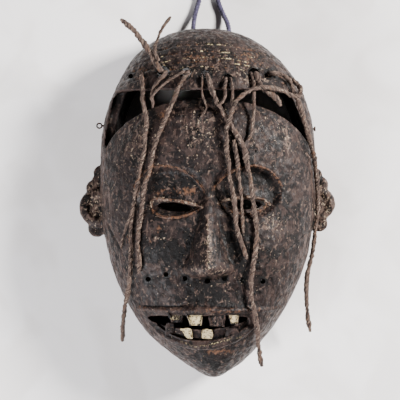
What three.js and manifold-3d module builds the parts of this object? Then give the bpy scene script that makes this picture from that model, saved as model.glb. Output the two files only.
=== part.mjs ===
// A carved wooden face mask with a hood, fibre strands tied through the hood's lip,
// and a braided string to hang it by. It lies on its flat back rim.
// Millimetres: +X to the viewer's right, +Y up the face, +Z out of the face.
import * as THREE from "three";
import { mergeVertices } from "three/addons/utils/BufferGeometryUtils.js";
import Module from "manifold-3d";

const wasm = await Module();
wasm.setup();

// Driving dimensions of the wooden shell
const HALF_WIDTH = 86.5; // at the temples, without the ears
const CROWN_Y = 140;
const CHIN_Y = -140;
const WIDEST_Y = 30; // height on the face where the outline is widest
const EQUATOR_Z = 32; // the outline's widest edge stands this far above the back rim
const FRONT_Z = 92; // the forehead, above the back rim
const RIM_SCALE = 0.93; // the back rim is this much smaller than the outline
const WALL = 9;
const FRONT_WALL = 10.8;
const CHIN_WALL = 13.5;
// The crown is carved a little to the left of the middle, the chin a little to the right
const CROWN_SHIFT = { x: -2.6, from: 95, to: 125 };
const CHIN_SHIFT = { x: 3.8, from: -105, to: -130 };

// Fullness of the curves: 2 is an ellipse, more is squarer
const CROWN_OUTLINE = 2.2;
const JAW_OUTLINE = 2.6;
const JAW_POINT = 0.76; // the jaw narrows to a point
const CHIN_RADIUS = 14; // that rounds off the point
const CHIN_TIP = 19.6; // half width where the rounding ends
const CROWN_PROFILE = 2.4;
const JAW_PROFILE = 2.6;
const SLICE = 2.3; // a cut across the face
const SKIRT_CURVE = 1.6;

// Grids of the shell's surfaces
const OUTER_GRID = { columns: 26, crownRows: 9, jawRows: 23 };
const HOLLOW_GRID = { columns: 12, crownRows: 5, jawRows: 8 };
const SKIRT_STEPS = 2;
const SLIVER = 0.1; // edges that bend the surface by less than this are merged
const SEGMENTS = { lid: 6, slit: 6, brow: 9, lip: 9, mouth: 6, arch: 16, slotCorner: 3 };
const RIDGE_SIDES = { lid: 4, brow: 4, lip: 5 };
const RIDGE_END = 0.04; // share of its length where a ridge's blunt end starts
const CENTRE_DENSITY = 0.6; // below 1 the grid lines crowd towards the middle of the face
const POLE_DENSITY = 0.85;

// The forehead is an egg of its own under the hood: its top edge is half an ellipse
const ARCH = { halfWidth: 84, height: 52.5, y: 30.2, roundOff: 6, roundWidth: 14, end: 0.19 };
// The hood's lip is the straight upper edge of the slot between hood and forehead
const LIP = { y: 89.2, left: -70, right: 62, corner: 5, cornerOut: 1.5, step: 1 };
const LIP_BAND = { width: 13, fade: 3, rise: 1.6 };
const SLOT_SIDES = { left: [[-78, 72], [-81.5, 55]], right: [[79.5, 54], [74, 67], [67.5, 82]] };
const SLOT_FLOOR_Z = 44;
const CUT_TOP_Z = 132; // cuts through the front end above everything on it

const EYES = [
  { x: -26.2, y: -3.2, halfWidth: 15, open: 3.4, tilt: -0.07 },
  { x: 29.8, y: -1.4, halfWidth: 14.4, open: 3.5, tilt: 0 },
];
const SOCKET = { x: 29, y: 8, halfWidth: 31, halfHeight: 22, depth: 6, floor: 0.7 };
const LID = { rise: 4.5, halfWidth: 14, halfHeight: 7.5, radius: 1.3, margin: 1.6, lift: 0.2 };
const BROW = { root: [0, 3], inner: [10, 31], outer: [54, 43], end: [61, 3] };
const BROW_RIDGE = { radius: 1.3, lift: 0.4 };
const NOSE = { rootY: 6, baseY: -58, rootRise: 3, tipRise: 21, halfWidth: 6.5, spread: 5.5 };
// Shares of the nose's length: where it has risen from the brows and where its base falls away
const NOSE_ENDS = { risen: 0.12, falls: 0.8, slope: 1.2, flatness: 1.25 };
const NOSTRIL = { x: 12.5, y: -50.5, rise: 8, width: 6.5, height: 5.5 };
const CHEEK = { x: 45, y: -38, rise: 2.5, width: 22 };
const MUZZLE = { x: -4, y: -93, rise: 7, width: 38, height: 16 };
const MOUTH = { left: -50, right: 34, topY: -88, cornerY: -90, lowerY: -99.5 };
const UPPER_LIP = { left: -57, right: 58, y: -84.3, cornerY: -83, radius: 2.6, sag: 6 };
const LOWER_LIP = { left: -47, right: 38, y: -112.5, cornerY: -95, radius: 3.4, sag: 2.2 };

// Teeth hang from the upper lip and stand on the lower one: left, right and the tip's height
const UPPER_TEETH = [
  [-31, -19.6, -93.2],
  [-17.8, -4.2, -96],
  [1.4, 12.4, -96],
  [17.1, 24.6, -94.5],
];
const LOWER_TEETH = [
  [-34.5, -25.5, -94.6],
  [-22.2, -12.8, -98.2],
  [-5.7, 3.5, -98.6],
  [13, 25, -96.2],
];
const CARVING_FADE = { from: 0.15, to: 0.6 }; // shares of the way up from the outline
const TOOTH = { upperRootY: -86, lowerRootY: -106, depth: 8, setBack: 1.5, narrowing: 0.86 };

// Each ear is a half disc on a strip along the side wall, with small lobes above and below
const EAR_Z = 27;
const EAR_DISC = { thickness: 15, edge: 2.5, sides: 16 };
const EAR_LOBE = { thickness: 10, edge: 1.5, sides: 7 };
const EAR_STRIP = { width: 9, thickness: 8 };
const CONCHA = { scale: 0.6, depth: 2.5, sides: 10 };
const EARS = [
  {
    disc: [-88.5, -3.8, 15],
    strip: [-87, -25, 27],
    lobes: [[-86.8, 24.5, 5.5], [-89, 18, 4.6], [-92.5, 12.5, 5.5], [-90, -20.5, 6.6]],
  },
  {
    disc: [88.8, -0.6, 13.6],
    strip: [86, -22, 26],
    lobes: [[86, 22.5, 5.6], [90.5, 14.5, 6.4], [89.5, -16.5, 6.8]],
  },
];

// Holes through the wall: x, y, radius
const LIP_HOLES = [
  [-61.5, 100.7, 2],
  [-52.8, 102.2, 2.6],
  [-35.5, 103.8, 4.8],
  [-17, 103, 4.1],
  [-2, 100.7, 4.1],
  [15.6, 98, 3.6],
  [36, 102, 4.6],
  [48.8, 102, 3],
  [65, 98.5, 2.6],
];
const BEARD_HOLES = [
  [-47.3, -60, 2],
  [-33.2, -56, 2],
  [-18.2, -59.2, 2],
  [-0.5, -61, 2.2],
  [12.8, -59.2, 2],
  [26.6, -60.5, 2],
  [43, -61.6, 2],
];
const LIP_HOLE_SIDES = 8;
const BEARD_HOLE_SIDES = 6;

// Iron pins in the hood's sides, an eye on the left and a flat head on the right
const PIN = { radius: 0.9, holeRadius: 1.4, length: 6, sides: 6 };
const PIN_HOLE = { clearance: 0.4, out: 9 };
const LEFT_PIN = { x: -84.2, y: 62, z: 36, ring: 2, wire: 0.6, sunk: 0.5 };
const RIGHT_PIN = { x: 84.4, y: 59.5, z: 36, head: 1.9, thickness: 1.4, headSides: 8, out: 0.6 };

// The hanging string: its two ends come out of holes in the crown, just above the back rim
const STRING_RADIUS = 2;
const STRING_HOLE = { radius: 2.8, z: 10, from: 112, to: 146, sides: 8 };
const STRING_HOLES_X = [-11.5, 17];
const STRING_ROUTE = [
  [-11.4, 118, 10], [-11.5, 130, 10], [-12, 138, 9.6], [-11.6, 146, 6.2], [-10, 155, 3],
  [-7.2, 165, 2.4], [-6.4, 174, 2.4], [-5.5, 182, 2.4], [-1, 188, 2.4], [5, 187.5, 2.4],
  [8.5, 181, 2.4], [8, 173, 2.4], [8.6, 164, 2.4], [12.5, 154, 3], [16, 146, 6.2],
  [17.2, 138, 9.6], [17, 130, 10], [17, 118, 10],
];

const CORD_SIDES = 8;
const CORD_STEP = 3; // diameters

// Fibre strands: each comes out of a hole in the lip and lies over the forehead and face
const STRANDS = {
  strand_tuft: {
    radius: 2,
    route: [
      [-37.4, 104.6, 63], [-37.4, 104.7, 76], [-38.4, 106, 82.5], [-40.4, 108.8, 85],
      [-42.6, 113, 86], [-45.4, 118.3, 87], [-48.8, 122.8, 87.6], [-52.2, 127.8, 88.2],
      [-57.3, 134, 89], [-63.5, 140.2, 90], [-68.5, 144, 90.5],
    ],
  },
  strand_tuft_branch: {
    radius: 1.2,
    route: [
      [-38.8, 111.5, 89], [-41.2, 117, 89.8], [-41.8, 122.5, 90], [-40.1, 127.8, 90.5],
      [-37.8, 133.2, 91], [-33.8, 140.2, 91], [-29.3, 145.7, 90],
    ],
  },
  strand_tuft_tail: {
    radius: 1.5,
    route: [
      [-33.6, 102.6, 66], [-33.6, 102.6, 77.5], [-34.6, 100.6, 83.4], [-38.5, 96.5, 83.8],
      [-42.3, 90.5, 83.4], [-45, 83, 84],
    ],
  },
  strand_long_left: {
    radius: 1.6,
    route: [
      [-52.8, 102.2, 56], [-52.8, 102.2, 70], [-52.7, 100.4, 75.6], [-52.2, 96, 77.6],
      [-51.4, 88, 80.5], [-51, 79, 84], [-49.5, 72, 86], [-48.5, 61, 87.5], [-49.5, 53, 88],
      [-50, 42, 88],
      [-53, 30, 87], [-54.5, 19, 86], [-58, 2, 84], [-60.5, -20, 80.5], [-61, -41, 77.5],
      [-61.5, -53, 75], [-63, -67, 69], [-66, -82, 59], [-68, -97, 47], [-69, -111, 36],
    ],
  },
  strand_long_left_split: {
    radius: 0.9,
    route: [
      [-58.8, -1, 87], [-60.8, -9, 86], [-64, -17, 82], [-66.5, -25, 77.5], [-69, -36, 72],
    ],
  },
  strand_curl: {
    radius: 1.2,
    route: [
      [-19.1, 103, 71], [-19.2, 103, 82], [-20.6, 102.3, 87], [-24, 100.6, 88.4],
      [-28, 98.2, 88.6], [-34, 94, 88.8], [-39.5, 89, 88.8], [-44, 83.4, 88.4],
      [-43, 79.2, 87], [-43.3, 74.5, 86.2],
    ],
  },
  strand_inner_left: {
    radius: 1.6,
    route: [
      [-15.6, 103, 69], [-15.6, 103, 80], [-16.6, 101.2, 86], [-19.4, 97.5, 88], [-22, 93, 88.4],
      [-24, 89, 89], [-26, 83, 90], [-29, 77, 90.5], [-34, 65, 91], [-39, 53, 91.2],
      [-42, 45, 91], [-45, 30, 90], [-47, 22, 89], [-50, 14, 88], [-52, -2, 86.5],
      [-54, -17, 85], [-55, -25, 84.2], [-55.5, -33, 83.8], [-54.5, -41, 83.2], [-54, -49, 82],
      [-55, -56, 79.5],
    ],
  },
  strand_thread: {
    radius: 0.7,
    route: [
      [-4.4, 100.8, 72], [-4.4, 100.8, 82], [-4.6, 98.6, 87.2], [-4.8, 93, 89], [-4.8, 87, 89.6],
      [-2.5, 78, 90.6], [-1.2, 75, 91.2], [-3, 71, 92], [-6, 67, 92.4],
    ],
  },
  strand_long_middle: {
    radius: 1.7,
    route: [
      [-1, 100.8, 73], [-1, 100.8, 84], [-0.4, 99.2, 89.2], [1, 95.5, 90.6], [2.2, 90, 91],
      [4.5, 85, 91.4], [7, 79, 92.2], [10, 74, 93], [17, 62, 94], [23, 52, 94.2],
      [28, 43, 94.2], [30.5, 30, 94], [33, 18, 93], [35, 2, 91.6], [37, -13, 90.8],
      [38, -27, 90.8], [36, -43, 90.2], [34, -59, 88.6], [34, -67, 87.4], [34, -75, 86],
      [36, -83, 84.5], [39, -101, 73], [40, -114, 61], [43, -130, 49],
    ],
  },
  strand_fork_left: {
    radius: 1.1,
    route: [
      [13.9, 98, 73], [13.9, 98, 83], [13.7, 95.6, 88.4], [13, 90, 90.6], [13.4, 85, 92.6],
      [12, 81, 94.8], [9.5, 78, 96.6], [6.5, 76, 97],
    ],
  },
  strand_fork_right: {
    radius: 1.1,
    route: [
      [17.3, 98, 73], [17.3, 98, 83], [18, 95.4, 88], [19, 91, 89.6], [19.2, 86, 90.4],
      [19, 81, 91], [18.2, 76.5, 91.4],
    ],
  },
  strand_long_right: {
    radius: 1.6,
    route: [
      [65, 98.5, 46], [65, 98.5, 58], [66.4, 97.4, 64.6], [70.4, 94.6, 66.4], [73.4, 89.6, 67.6],
      [71.4, 84.6, 71.4], [65.5, 85, 75], [59, 88.2, 79], [53, 90, 83.4], [46, 90.8, 88.8],
      [39.5, 90.6, 90.6], [34, 89, 90.8], [29, 86, 91.6], [24.5, 82.5, 94.4], [21, 78.6, 96.6],
      [18.3, 71, 97.4], [15.9, 64, 98.2], [14.3, 58, 97.4], [14.6, 48, 95.6], [14.2, 42, 95.2],
      [16, 30, 95.2], [16.4, 22, 95.2], [19, 10, 95], [21, -5, 94.6], [22.2, -19, 94],
      [26, -31, 93], [30.5, -43.5, 92.4],
    ],
  },
  strand_short_right: {
    radius: 1.4,
    route: [
      [19.8, 49.5, 94.2], [21.2, 42, 94.2], [22.4, 35, 94.2], [24.2, 18, 93.8], [26, 2, 93],
      [26.6, -13, 92.4], [27.6, -24, 91.8],
    ],
  },
  strand_straight: {
    radius: 1.2,
    route: [
      [33.6, 102, 67], [33.6, 102, 77], [34.6, 99.6, 82.6], [36, 95, 84.2], [36, 87, 86],
      [36, 75, 88.8], [35, 63, 90.8], [34, 57, 91.4], [33, 52.5, 92], [30.8, 48.2, 92.4],
    ],
  },
  strand_stub: {
    radius: 2,
    route: [
      [37.5, 101.6, 64], [37.5, 101.6, 77.5], [38, 100.4, 83], [40, 95.4, 84.2],
      [41.8, 91.6, 84], [44.8, 88.8, 83.4], [49, 86.2, 82.2], [53, 83, 81], [55.5, 80, 80.2],
      [57, 76.5, 79.6],
    ],
  },
  strand_outer_right: {
    radius: 1.7,
    route: [
      [48.5, 102, 62], [48.5, 102, 73], [50.2, 102.2, 77.4], [54.5, 102.6, 76], [59.5, 100.8, 71.4],
      [63.5, 97.6, 67.5], [66.6, 92, 66.4], [68.4, 87, 66.4], [71, 81.5, 66.2], [73.4, 74, 66],
      [76, 66, 64.5], [80.6, 50, 60.8], [84.8, 34, 55.6], [87, 14, 49.6], [87.4, -6, 45],
      [86, -22, 42], [84, -38, 38.6], [80.8, -52, 35.8], [79.5, -62, 33.5], [79.5, -78, 30],
      [80.5, -94, 26], [82.5, -104, 23.5],
    ],
  },
};

const WOOD = new THREE.MeshStandardMaterial({ color: 0x3b322b, roughness: 0.75, metalness: 0 });
const FIBRE = new THREE.MeshStandardMaterial({ color: 0x5a4f45, roughness: 0.9, metalness: 0 });
const STRING = new THREE.MeshStandardMaterial({ color: 0x6d6488, roughness: 0.9, metalness: 0 });
const IRON = new THREE.MeshStandardMaterial({ color: 0x1c1a19, roughness: 0.6, metalness: 0.7 });

const smooth = (from, to, value) => THREE.MathUtils.smoothstep(value, from, to);
const bell = (distance) => Math.exp(-distance * distance);

// Superellipse quarter: 1 at t = 0, falling to 0 at t = 1
const arc = (t, power) => (1 - Math.min(Math.abs(t), 1) ** power) ** (1 / power);

const OUTSIDE = {
  halfWidth: HALF_WIDTH,
  crownY: CROWN_Y,
  chinY: CHIN_Y,
  frontZ: FRONT_Z,
  backZ: 0,
};
const HOLLOW = {
  halfWidth: HALF_WIDTH - WALL,
  crownY: CROWN_Y - WALL,
  chinY: CHIN_Y + CHIN_WALL,
  frontZ: FRONT_Z - FRONT_WALL,
  backZ: -1, // past the rim, so that the back is open
};

// How far y lies from the widest height towards the crown or the chin, 0 to 1
const towardsCrown = (shell, y) => (y - WIDEST_Y) / (shell.crownY - WIDEST_Y);
const towardsChin = (shell, y) => Math.min((WIDEST_Y - y) / (WIDEST_Y - shell.chinY), 1);

function outlineHalfWidth(shell, y) {
  if (y > WIDEST_Y) return shell.halfWidth * arc(towardsCrown(shell, y), CROWN_OUTLINE);
  const narrowing = (1 - towardsChin(shell, y) ** JAW_OUTLINE) ** JAW_POINT;
  const tip = Math.sqrt(2 * CHIN_RADIUS * Math.max(y - shell.chinY, 0));
  return Math.max(shell.halfWidth * narrowing, Math.min(tip, CHIN_TIP));
}

function middleX(y) {
  const crown = CROWN_SHIFT.x * smooth(CROWN_SHIFT.from, CROWN_SHIFT.to, y);
  return crown + CHIN_SHIFT.x * smooth(-CHIN_SHIFT.from, -CHIN_SHIFT.to, -y);
}

function profileZ(shell, y) {
  const rise =
    y > WIDEST_Y
      ? arc(towardsCrown(shell, y), CROWN_PROFILE)
      : arc(towardsChin(shell, y), JAW_PROFILE);
  return EQUATOR_Z + (shell.frontZ - EQUATOR_Z) * rise;
}

// The plain egg's height at a place on the front
function eggZ(x, y) {
  const across = (x - middleX(y)) / Math.max(outlineHalfWidth(OUTSIDE, y), 1e-6);
  return EQUATOR_Z + (profileZ(OUTSIDE, y) - EQUATOR_Z) * arc(across, SLICE);
}

// The forehead rounds off towards its arch, and stays low in the slot beyond it
function foreheadRelief(x, y) {
  if (y > LIP.y - LIP.step) return 0;
  const reach = Math.hypot(x / ARCH.halfWidth, Math.max(y - ARCH.y, 0) / ARCH.height);
  const inside = (1 - reach) * ARCH.height;
  const fade = smooth(ARCH.y, ARCH.y + 2 * ARCH.roundWidth, y);
  return -ARCH.roundOff * fade * (1 - smooth(0, ARCH.roundWidth, inside));
}

function lipRelief(y) {
  const fromLip = y - LIP.y;
  const { width, fade, rise } = LIP_BAND;
  return rise * smooth(-LIP.step, 0, fromLip) * (1 - smooth(width, width + fade, fromLip));
}

function eyeRelief(x, y) {
  const side = (Math.abs(x) - SOCKET.x) / SOCKET.halfWidth;
  const reach = Math.hypot(side, (y - SOCKET.y) / SOCKET.halfHeight);
  const lids = EYES.map((eye) =>
    bell(Math.hypot((x - eye.x) / LID.halfWidth, (y - eye.y) / LID.halfHeight)),
  );
  return LID.rise * (lids[0] + lids[1]) - SOCKET.depth * (1 - smooth(SOCKET.floor, 1, reach));
}

function noseRelief(x, y) {
  const down = (NOSE.rootY - y) / (NOSE.rootY - NOSE.baseY);
  if (down < 0 || down > 1) return 0;
  const rise = NOSE.rootRise + (NOSE.tipRise - NOSE.rootRise) * down ** NOSE_ENDS.slope;
  const ends = smooth(0, NOSE_ENDS.risen, down) * (1 - smooth(NOSE_ENDS.falls, 1, down));
  const across = Math.abs(x) / (NOSE.halfWidth + NOSE.spread * down);
  const wings = [-1, 1].map((side) => {
    const aside = (x - side * NOSTRIL.x) / NOSTRIL.width;
    return bell(Math.hypot(aside, (y - NOSTRIL.y) / NOSTRIL.height));
  });
  return rise * bell(across ** NOSE_ENDS.flatness) * ends + NOSTRIL.rise * (wings[0] + wings[1]);
}

function cheekRelief(x, y) {
  const cheek = bell(Math.hypot(Math.abs(x) - CHEEK.x, y - CHEEK.y) / CHEEK.width);
  const across = (x - MUZZLE.x) / MUZZLE.width;
  const muzzle = bell(Math.hypot(across, (y - MUZZLE.y) / MUZZLE.height));
  return CHEEK.rise * cheek + MUZZLE.rise * muzzle;
}

// Carving over the plain egg, fading out towards the outline
function relief(x, y) {
  const steepness = (eggZ(x, y) - EQUATOR_Z) / (profileZ(OUTSIDE, y) - EQUATOR_Z + 1e-6);
  const forms = [foreheadRelief(x, y), lipRelief(y), eyeRelief(x, y), noseRelief(x, y)];
  const carving = forms.reduce((sum, form) => sum + form, cheekRelief(x, y));
  return carving * smooth(CARVING_FADE.from, CARVING_FADE.to, steepness);
}

const surfaceZ = (x, y) => eggZ(x, y) + relief(x, y);

// A closed solid from a geometry; triangles that shrink to a line are dropped
function solidOf(geometry) {
  const bare = new THREE.BufferGeometry();
  bare.setAttribute("position", geometry.getAttribute("position"));
  bare.setIndex(geometry.index);
  const merged = mergeVertices(bare, 1e-4);
  const triVerts = [];
  for (let i = 0; i < merged.index.count; i += 3) {
    const [a, b, c] = [0, 1, 2].map((k) => merged.index.getX(i + k));
    if (a !== b && b !== c && c !== a) triVerts.push(a, b, c);
  }
  const mesh = new wasm.Mesh({
    numProp: 3,
    vertProperties: new Float32Array(merged.getAttribute("position").array),
    triVerts: new Uint32Array(triVerts),
  });
  return new wasm.Manifold(mesh);
}

function solidFrom(points, triangles) {
  const geometry = new THREE.BufferGeometry();
  geometry.setAttribute("position", new THREE.Float32BufferAttribute(points.flat(), 3));
  geometry.setIndex(triangles.flat());
  return solidOf(geometry);
}

function geometryOf(solid) {
  const mesh = solid.getMesh();
  const geometry = new THREE.BufferGeometry();
  geometry.setAttribute("position", new THREE.Float32BufferAttribute(mesh.vertProperties, 3));
  geometry.setIndex(Array.from(mesh.triVerts));
  geometry.computeVertexNormals();
  return geometry;
}

const joined = (solids) => solids.reduce((all, next) => all.add(next));

// Heights of the cuts across a shell, closer together towards the chin and the crown
function cutHeights(shell, grid) {
  const heights = [];
  for (let j = grid.jawRows; j > 0; j -= 1) {
    const t = j / grid.jawRows;
    const turn = (POLE_DENSITY * t + (1 - POLE_DENSITY) * t ** 3) * (Math.PI / 2);
    heights.push(WIDEST_Y - (WIDEST_Y - shell.chinY) * Math.sin(turn));
  }
  for (let j = 0; j <= grid.crownRows; j += 1) {
    const turn = (j / grid.crownRows) * (Math.PI / 2);
    heights.push(WIDEST_Y + (shell.crownY - WIDEST_Y) * Math.sin(turn));
  }
  return heights;
}

// One cut across the shell, from the left of the back rim over the front to the right
function slicePoints(shell, y, columns, carve) {
  const halfWidth = outlineHalfWidth(shell, y);
  const front = profileZ(shell, y) - EQUATOR_Z;
  const middle = middleX(y);
  const points = [];
  for (let i = 0; i <= columns; i += 1) {
    const s = (2 * i) / columns - 1;
    const turn = (CENTRE_DENSITY * s + (1 - CENTRE_DENSITY) * s ** 3) * (Math.PI / 2);
    const x = middle + halfWidth * Math.sin(turn);
    const z = EQUATOR_Z + front * arc(Math.sin(turn), SLICE);
    points.push([x, y, carve ? z + relief(x, y) : z]);
  }
  const skirt = (side) => {
    const down = [];
    for (let k = 1; k <= SKIRT_STEPS; k += 1) {
      const t = k / SKIRT_STEPS;
      const scale = 1 - (1 - RIM_SCALE) * t ** SKIRT_CURVE;
      const z = EQUATOR_Z + (shell.backZ - EQUATOR_Z) * t;
      down.push([(middle + side * halfWidth) * scale, y * scale, z]);
    }
    return down;
  };
  return [...skirt(-1).reverse(), ...points, ...skirt(1)];
}

// A whole shell: a strip between each two cuts, closed by its flat back
function shellSolid(shell, grid, extraHeights, carve) {
  const heights = [...cutHeights(shell, grid), ...extraHeights].sort((a, b) => a - b);
  const slices = heights.map((y) => slicePoints(shell, y, grid.columns, carve));
  const across = slices[0].length;
  const triangles = [];
  for (let j = 0; j + 1 < slices.length; j += 1) {
    for (let i = 0; i < across; i += 1) {
      const next = (i + 1) % across;
      const [a, b] = [j * across + i, j * across + next];
      const [c, d] = [a + across, b + across];
      triangles.push([a, b, d], [a, d, c]);
    }
  }
  return solidFrom(slices.flat(), triangles);
}

// A rounded ridge along points, thinning at both ends
function ridgeSolid(points, radius, steps, sides) {
  const curve = new THREE.CatmullRomCurve3(points.map((p) => new THREE.Vector3(...p)));
  const frames = curve.computeFrenetFrames(steps, false);
  const rings = [];
  for (let k = 0; k <= steps; k += 1) {
    const along = THREE.MathUtils.clamp(k / steps, RIDGE_END, 1 - RIDGE_END);
    const size = radius * Math.sqrt(Math.sin(Math.PI * along));
    for (let i = 0; i < sides; i += 1) {
      const turn = (2 * Math.PI * i) / sides;
      const point = curve.getPointAt(k / steps);
      point.addScaledVector(frames.normals[k], size * Math.cos(turn));
      point.addScaledVector(frames.binormals[k], size * Math.sin(turn));
      rings.push(point.toArray());
    }
  }
  const triangles = [];
  for (let k = 0; k < steps; k += 1) {
    for (let i = 0; i < sides; i += 1) {
      const [a, b] = [k * sides + i, k * sides + ((i + 1) % sides)];
      triangles.push([a, b, b + sides], [a, b + sides, a + sides]);
    }
  }
  for (let i = 1; i + 1 < sides; i += 1) {
    const last = steps * sides;
    triangles.push([0, i + 1, i], [last, last + i, last + i + 1]);
  }
  return solidFrom(rings, triangles);
}

// An outline cut through along Z, from a height up past the front
function cutter(shape, fromZ, curveSegments) {
  const settings = { depth: CUT_TOP_Z - fromZ, bevelEnabled: false, curveSegments };
  return solidOf(new THREE.ExtrudeGeometry(shape, settings).translate(0, 0, fromZ));
}

function rodGeometry(from, to, radius, sides) {
  const start = new THREE.Vector3(...from);
  const reach = new THREE.Vector3(...to).sub(start);
  const geometry = new THREE.CylinderGeometry(radius, radius, reach.length(), sides);
  const turn = new THREE.Quaternion().setFromUnitVectors(
    new THREE.Vector3(0, 1, 0),
    reach.clone().normalize(),
  );
  geometry.applyQuaternion(turn);
  return geometry.translate(...start.addScaledVector(reach, 0.5).toArray());
}

const rod = (from, to, radius, sides) => solidOf(rodGeometry(from, to, radius, sides));

// A flat disc facing +Z, with its front edge cut back
function discSolid([x, y, radius], { thickness, edge, sides }) {
  const half = thickness / 2;
  const profile = [
    [0, -half],
    [radius, -half],
    [radius, half - edge],
    [radius - edge, half],
    [0, half],
  ].map(([across, up]) => new THREE.Vector2(across, up));
  const geometry = new THREE.LatheGeometry(profile, sides).rotateX(Math.PI / 2);
  return solidOf(geometry.translate(x, y, EAR_Z));
}

function earSolid(ear) {
  const [x, y, radius] = ear.disc;
  const top = EAR_Z + EAR_DISC.thickness / 2;
  const concha = rod([x, y, top - CONCHA.depth], [x, y, top + 1], radius * CONCHA.scale, CONCHA.sides);
  const [stripX, lowY, highY] = ear.strip;
  const strip = new THREE.BoxGeometry(EAR_STRIP.width, highY - lowY, EAR_STRIP.thickness);
  strip.translate(stripX, (lowY + highY) / 2, EAR_Z);
  const lobes = ear.lobes.map((lobe) => discSolid(lobe, EAR_LOBE));
  return joined([discSolid(ear.disc, EAR_DISC).subtract(concha), solidOf(strip), ...lobes]);
}

function browSolid(side) {
  const corners = [BROW.root, BROW.inner, BROW.outer, BROW.end];
  const curve = new THREE.CubicBezierCurve(
    ...corners.map(([x, y]) => new THREE.Vector2(side * x, y)),
  );
  const { radius, lift } = BROW_RIDGE;
  const flat = curve.getPoints(SEGMENTS.brow + 1);
  const points = flat.map((p) => [p.x, p.y, surfaceZ(p.x, p.y) + lift]);
  return ridgeSolid(points, radius, SEGMENTS.brow, RIDGE_SIDES.brow);
}

// A point on the edge of an eye's slit, above (1) or below (-1), at t from 0 to 1
function slitPoint(eye, t, above, margin) {
  const along = (2 * t - 1) * (eye.halfWidth + margin);
  const open = (eye.open + margin) * Math.cos((2 * t - 1) * (Math.PI / 2));
  return [eye.x + along, eye.y + eye.tilt * along + above * open];
}

function slitSolid(eye) {
  const steps = SEGMENTS.slit;
  const outline = [];
  for (let k = 0; k < steps; k += 1) outline.push(slitPoint(eye, k / steps, -1, 0));
  for (let k = steps; k > 0; k -= 1) outline.push(slitPoint(eye, k / steps, 1, 0));
  const shape = new THREE.Shape(outline.map(([x, y]) => new THREE.Vector2(x, y)));
  return cutter(shape, EQUATOR_Z, 1);
}

function lidSolid(eye, above) {
  const steps = SEGMENTS.lid;
  const points = [];
  for (let k = 0; k <= steps; k += 1) {
    const [x, y] = slitPoint(eye, k / steps, above, LID.margin);
    points.push([x, y, surfaceZ(x, y) + LID.lift]);
  }
  return ridgeSolid(points, LID.radius, steps, RIDGE_SIDES.lid);
}

function lipSolid(lip) {
  const steps = SEGMENTS.lip + 1;
  const points = [];
  for (let k = 0; k <= steps; k += 1) {
    const x = THREE.MathUtils.lerp(lip.left, lip.right, k / steps);
    const fromMiddle = Math.abs((2 * k) / steps - 1);
    const y = lip.cornerY + (lip.y - lip.cornerY) * (1 - fromMiddle ** lip.sag);
    points.push([x, y, surfaceZ(x, y)]);
  }
  return ridgeSolid(points, lip.radius, SEGMENTS.lip, RIDGE_SIDES.lip);
}

function mouthSolid() {
  const { left, right, topY, cornerY, lowerY } = MOUTH;
  const reach = (right - left) / 5;
  // A cubic's middle lies three quarters of the way to its two control points
  const lowerControl = cornerY + ((lowerY - cornerY) * 4) / 3;
  const shape = new THREE.Shape();
  shape.moveTo(left, cornerY);
  shape.bezierCurveTo(left + reach, lowerControl, right - reach, lowerControl, right, cornerY);
  shape.quadraticCurveTo((left + right) / 2, 2 * topY - cornerY, left, cornerY);
  return cutter(shape, EQUATOR_Z, SEGMENTS.mouth);
}

// A tooth is a block that follows the lips' slope and narrows towards its tip
function toothSolid([left, right, tipY], rootY) {
  const middle = (left + right) / 2;
  const end = (y, narrowing, depth) => {
    const z = surfaceZ(middle, y) - TOOTH.setBack - depth;
    const halfWidth = ((right - left) / 2) * narrowing;
    return [[middle - halfWidth, y, z], [middle + halfWidth, y, z]];
  };
  const points = [
    ...end(tipY, TOOTH.narrowing, 0),
    ...end(rootY, 1, 0),
    ...end(tipY, TOOTH.narrowing, TOOTH.depth),
    ...end(rootY, 1, TOOTH.depth),
  ];
  const faces = [
    [0, 1, 3], [0, 3, 2], [4, 7, 5], [4, 6, 7], [0, 5, 1], [0, 4, 5],
    [2, 3, 7], [2, 7, 6], [0, 2, 6], [0, 6, 4], [1, 5, 7], [1, 7, 3],
  ];
  return solidFrom(points, rootY > tipY ? faces : faces.map(([a, b, c]) => [a, c, b]));
}

// The slot runs straight along the lip, down both inner sides and back along the arch
function slotSolid() {
  const arch = (turn) => [
    ARCH.halfWidth * Math.cos(turn),
    ARCH.y + ARCH.height * Math.sin(turn),
  ];
  const steps = SEGMENTS.arch;
  const { y, left, right, corner, cornerOut } = LIP;
  const shape = new THREE.Shape();
  shape.moveTo(...arch(ARCH.end));
  SLOT_SIDES.right.forEach(([sideX, sideY]) => shape.lineTo(sideX, sideY));
  shape.quadraticCurveTo(right + cornerOut, y, right - corner, y);
  shape.lineTo(left + corner, y);
  shape.quadraticCurveTo(left - cornerOut, y, left - corner, y - corner);
  SLOT_SIDES.left.forEach(([sideX, sideY]) => shape.lineTo(sideX, sideY));
  for (let k = 0; k < steps; k += 1) {
    shape.lineTo(...arch(Math.PI - ARCH.end - ((Math.PI - 2 * ARCH.end) * k) / steps));
  }
  return cutter(shape, SLOT_FLOOR_Z, SEGMENTS.slotCorner);
}

function holeSolids() {
  const drill = (holes, sides) =>
    holes.map(([x, y, radius]) =>
      rod([x, y, EQUATOR_Z], [x, y, CUT_TOP_Z], radius, sides),
    );
  const { radius, z, from, to, sides } = STRING_HOLE;
  const strings = STRING_HOLES_X.map((x) => rod([x, from, z], [x, to, z], radius, sides));
  const pins = [LEFT_PIN, RIGHT_PIN].map((pin) => {
    const side = Math.sign(pin.x);
    const inner = [pin.x - side * (PIN.length + PIN_HOLE.clearance), pin.y, pin.z];
    const outer = [pin.x + side * PIN_HOLE.out, pin.y, pin.z];
    return rod(inner, outer, PIN.holeRadius, PIN.sides);
  });
  return joined([
    ...drill(LIP_HOLES, LIP_HOLE_SIDES),
    ...drill(BEARD_HOLES, BEARD_HOLE_SIDES),
    ...strings,
    ...pins,
  ]);
}

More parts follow.
